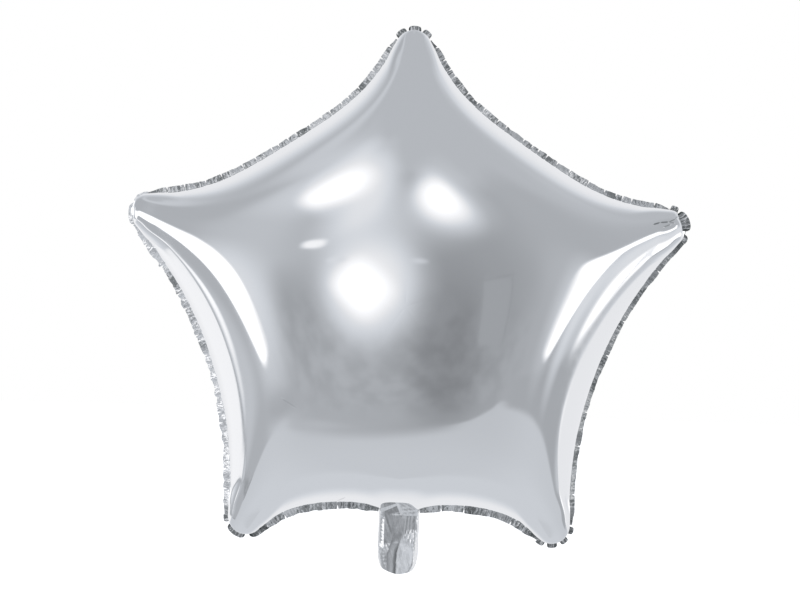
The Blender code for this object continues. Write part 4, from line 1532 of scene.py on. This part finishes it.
class BALLOON_OT_seams(bpy.types.Operator):
    """Build the crimped weld flange along the edges"""

    bl_idname = "balloon.seams"
    bl_label = "Seams"

    def execute(self, context):
        scene = context.scene
        seams = scene.balloon_seams
        star = star_of(scene)
        material = crinkled_material("seam foil", scene.balloon_finish, shared_groups())
        names = [name for name in star.stretches if name.startswith("seam_")]
        for index, name in enumerate(names):
            form = SEAM_FORMS[name]
            seed = seams.seed + 7 * index
            profile = seam_profile(seams.width * form.width, seed, form.ends, form.gaps)
            even = SEAM_SHADES[name.split("_")[1]]
            looks = seam_looks(seed, even, form.dark_ends, PALE_STRETCHES.get(name, ()))
            fold = (form.ruffle, form.crimp, math.radians(form.curl), form.flat_ends)
            piece = flange(name + "_flange", star.stretches[name], profile, looks, seed, seams, fold)
            dress(piece, material, "seam_foil", name)
        return {"FINISHED"}


class BALLOON_OT_tabs(bpy.types.Operator):
    """Build the gathered tabs round the tips"""

    bl_idname = "balloon.tabs"
    bl_label = "Tip tabs"

    def execute(self, context):
        scene = context.scene
        seams = scene.balloon_seams
        star = star_of(scene)
        material = crinkled_material("tab foil", scene.balloon_finish, shared_groups())
        for index, name in enumerate(TIP_NAMES):
            lobes = TAB_LOBES[name]
            profile = tab_profile(seams.tab_width * TAB_WIDTHS[name], lobes)
            looks = tab_looks(lobes, TAB_DEPTHS[name])
            run = star.stretches["tip_" + name]
            fold = (TAB_RUFFLE, TAB_CRIMP, math.radians(TAB_CURLS[name]), (0, 0))
            piece = flange(
                "tip_" + name + "_tabs", run, profile, looks, seams.seed + 101 + index, seams, fold)
            dress(piece, material, "tab_foil", "tip_" + name)
        return {"FINISHED"}


class BALLOON_OT_neck(bpy.types.Operator):
    """Build the two crumpled films of the neck"""

    bl_idname = "balloon.neck"
    bl_label = "Neck"

    def execute(self, context):
        scene = context.scene
        star = star_of(scene)
        material = crinkled_material("neck foil", scene.balloon_finish, shared_groups())
        for name, side in (("front", -1.0), ("back", 1.0)):
            piece = neck_film("neck_" + name + "_film", side, star, scene.balloon_film, scene.balloon_neck)
            # Otherwise the steep film above mirrors the neck as a second, darker one
            piece.visible_glossy = False
            dress(piece, material, "neck_foil", "neck_" + name)
        return {"FINISHED"}


class BALLOON_OT_valve(bpy.types.Operator):
    """Build the flat valve sleeve inside the neck"""

    bl_idname = "balloon.valve"
    bl_label = "Valve"

    def execute(self, context):
        scene = context.scene
        piece = valve_film()
        piece.visible_glossy = False
        dress(piece, valve_material(scene.balloon_finish), "valve_film", "valve_sleeve")
        return {"FINISHED"}


class BALLOON_OT_stage(bpy.types.Operator):
    """Set up the floor, the studio light and the camera"""

    bl_idname = "balloon.stage"
    bl_label = "Stage"

    def execute(self, context):
        scene = context.scene
        make_world(scene)
        make_floor(scene.balloon_studio.floor_drop)
        make_camera(scene, scene.balloon_studio)
        scene.view_settings.view_transform = "Standard"
        return {"FINISHED"}


class BALLOON_PT_sidebar(bpy.types.Panel):
    """Sizes, colours and builders of the foil balloon"""

    bl_idname = "BALLOON_PT_sidebar"
    bl_label = "Foil Balloon"
    bl_space_type = "VIEW_3D"
    bl_region_type = "UI"
    bl_category = "Foil Balloon"

    def draw(self, context):
        for attribute, group in PROPERTY_GROUPS.items():
            box = self.layout.box()
            box.label(text=group.__doc__)
            for name in group.__annotations__:
                box.prop(getattr(context.scene, attribute), name)
        for operator in OPERATORS:
            self.layout.operator(operator.bl_idname)


PROPERTY_GROUPS = {
    "balloon_outline": BalloonOutline,
    "balloon_film": BalloonFilm,
    "balloon_seams": BalloonSeams,
    "balloon_neck": BalloonNeck,
    "balloon_finish": BalloonFinish,
    "balloon_studio": BalloonStudio,
}
OPERATORS = (
    BALLOON_OT_panels, BALLOON_OT_seams, BALLOON_OT_tabs, BALLOON_OT_neck, BALLOON_OT_valve, BALLOON_OT_stage)


def register():
    """Registers the classes and gives the scene its property groups."""
    for attribute, group in PROPERTY_GROUPS.items():
        bpy.utils.register_class(group)
        setattr(bpy.types.Scene, attribute, PointerProperty(type=group))
    for operator in OPERATORS:
        bpy.utils.register_class(operator)
    bpy.utils.register_class(BALLOON_PT_sidebar)


def unregister():
    """Takes away what register added."""
    bpy.utils.unregister_class(BALLOON_PT_sidebar)
    for operator in reversed(OPERATORS):
        bpy.utils.unregister_class(operator)
    for attribute, group in PROPERTY_GROUPS.items():
        delattr(bpy.types.Scene, attribute)
        bpy.utils.unregister_class(group)


def main():
    """Builds every piece and the stage."""
    register()
    bpy.ops.balloon.panels()
    bpy.ops.balloon.seams()
    bpy.ops.balloon.tabs()
    bpy.ops.balloon.neck()
    bpy.ops.balloon.valve()
    bpy.ops.balloon.stage()


if __name__ == "__main__":
    main()
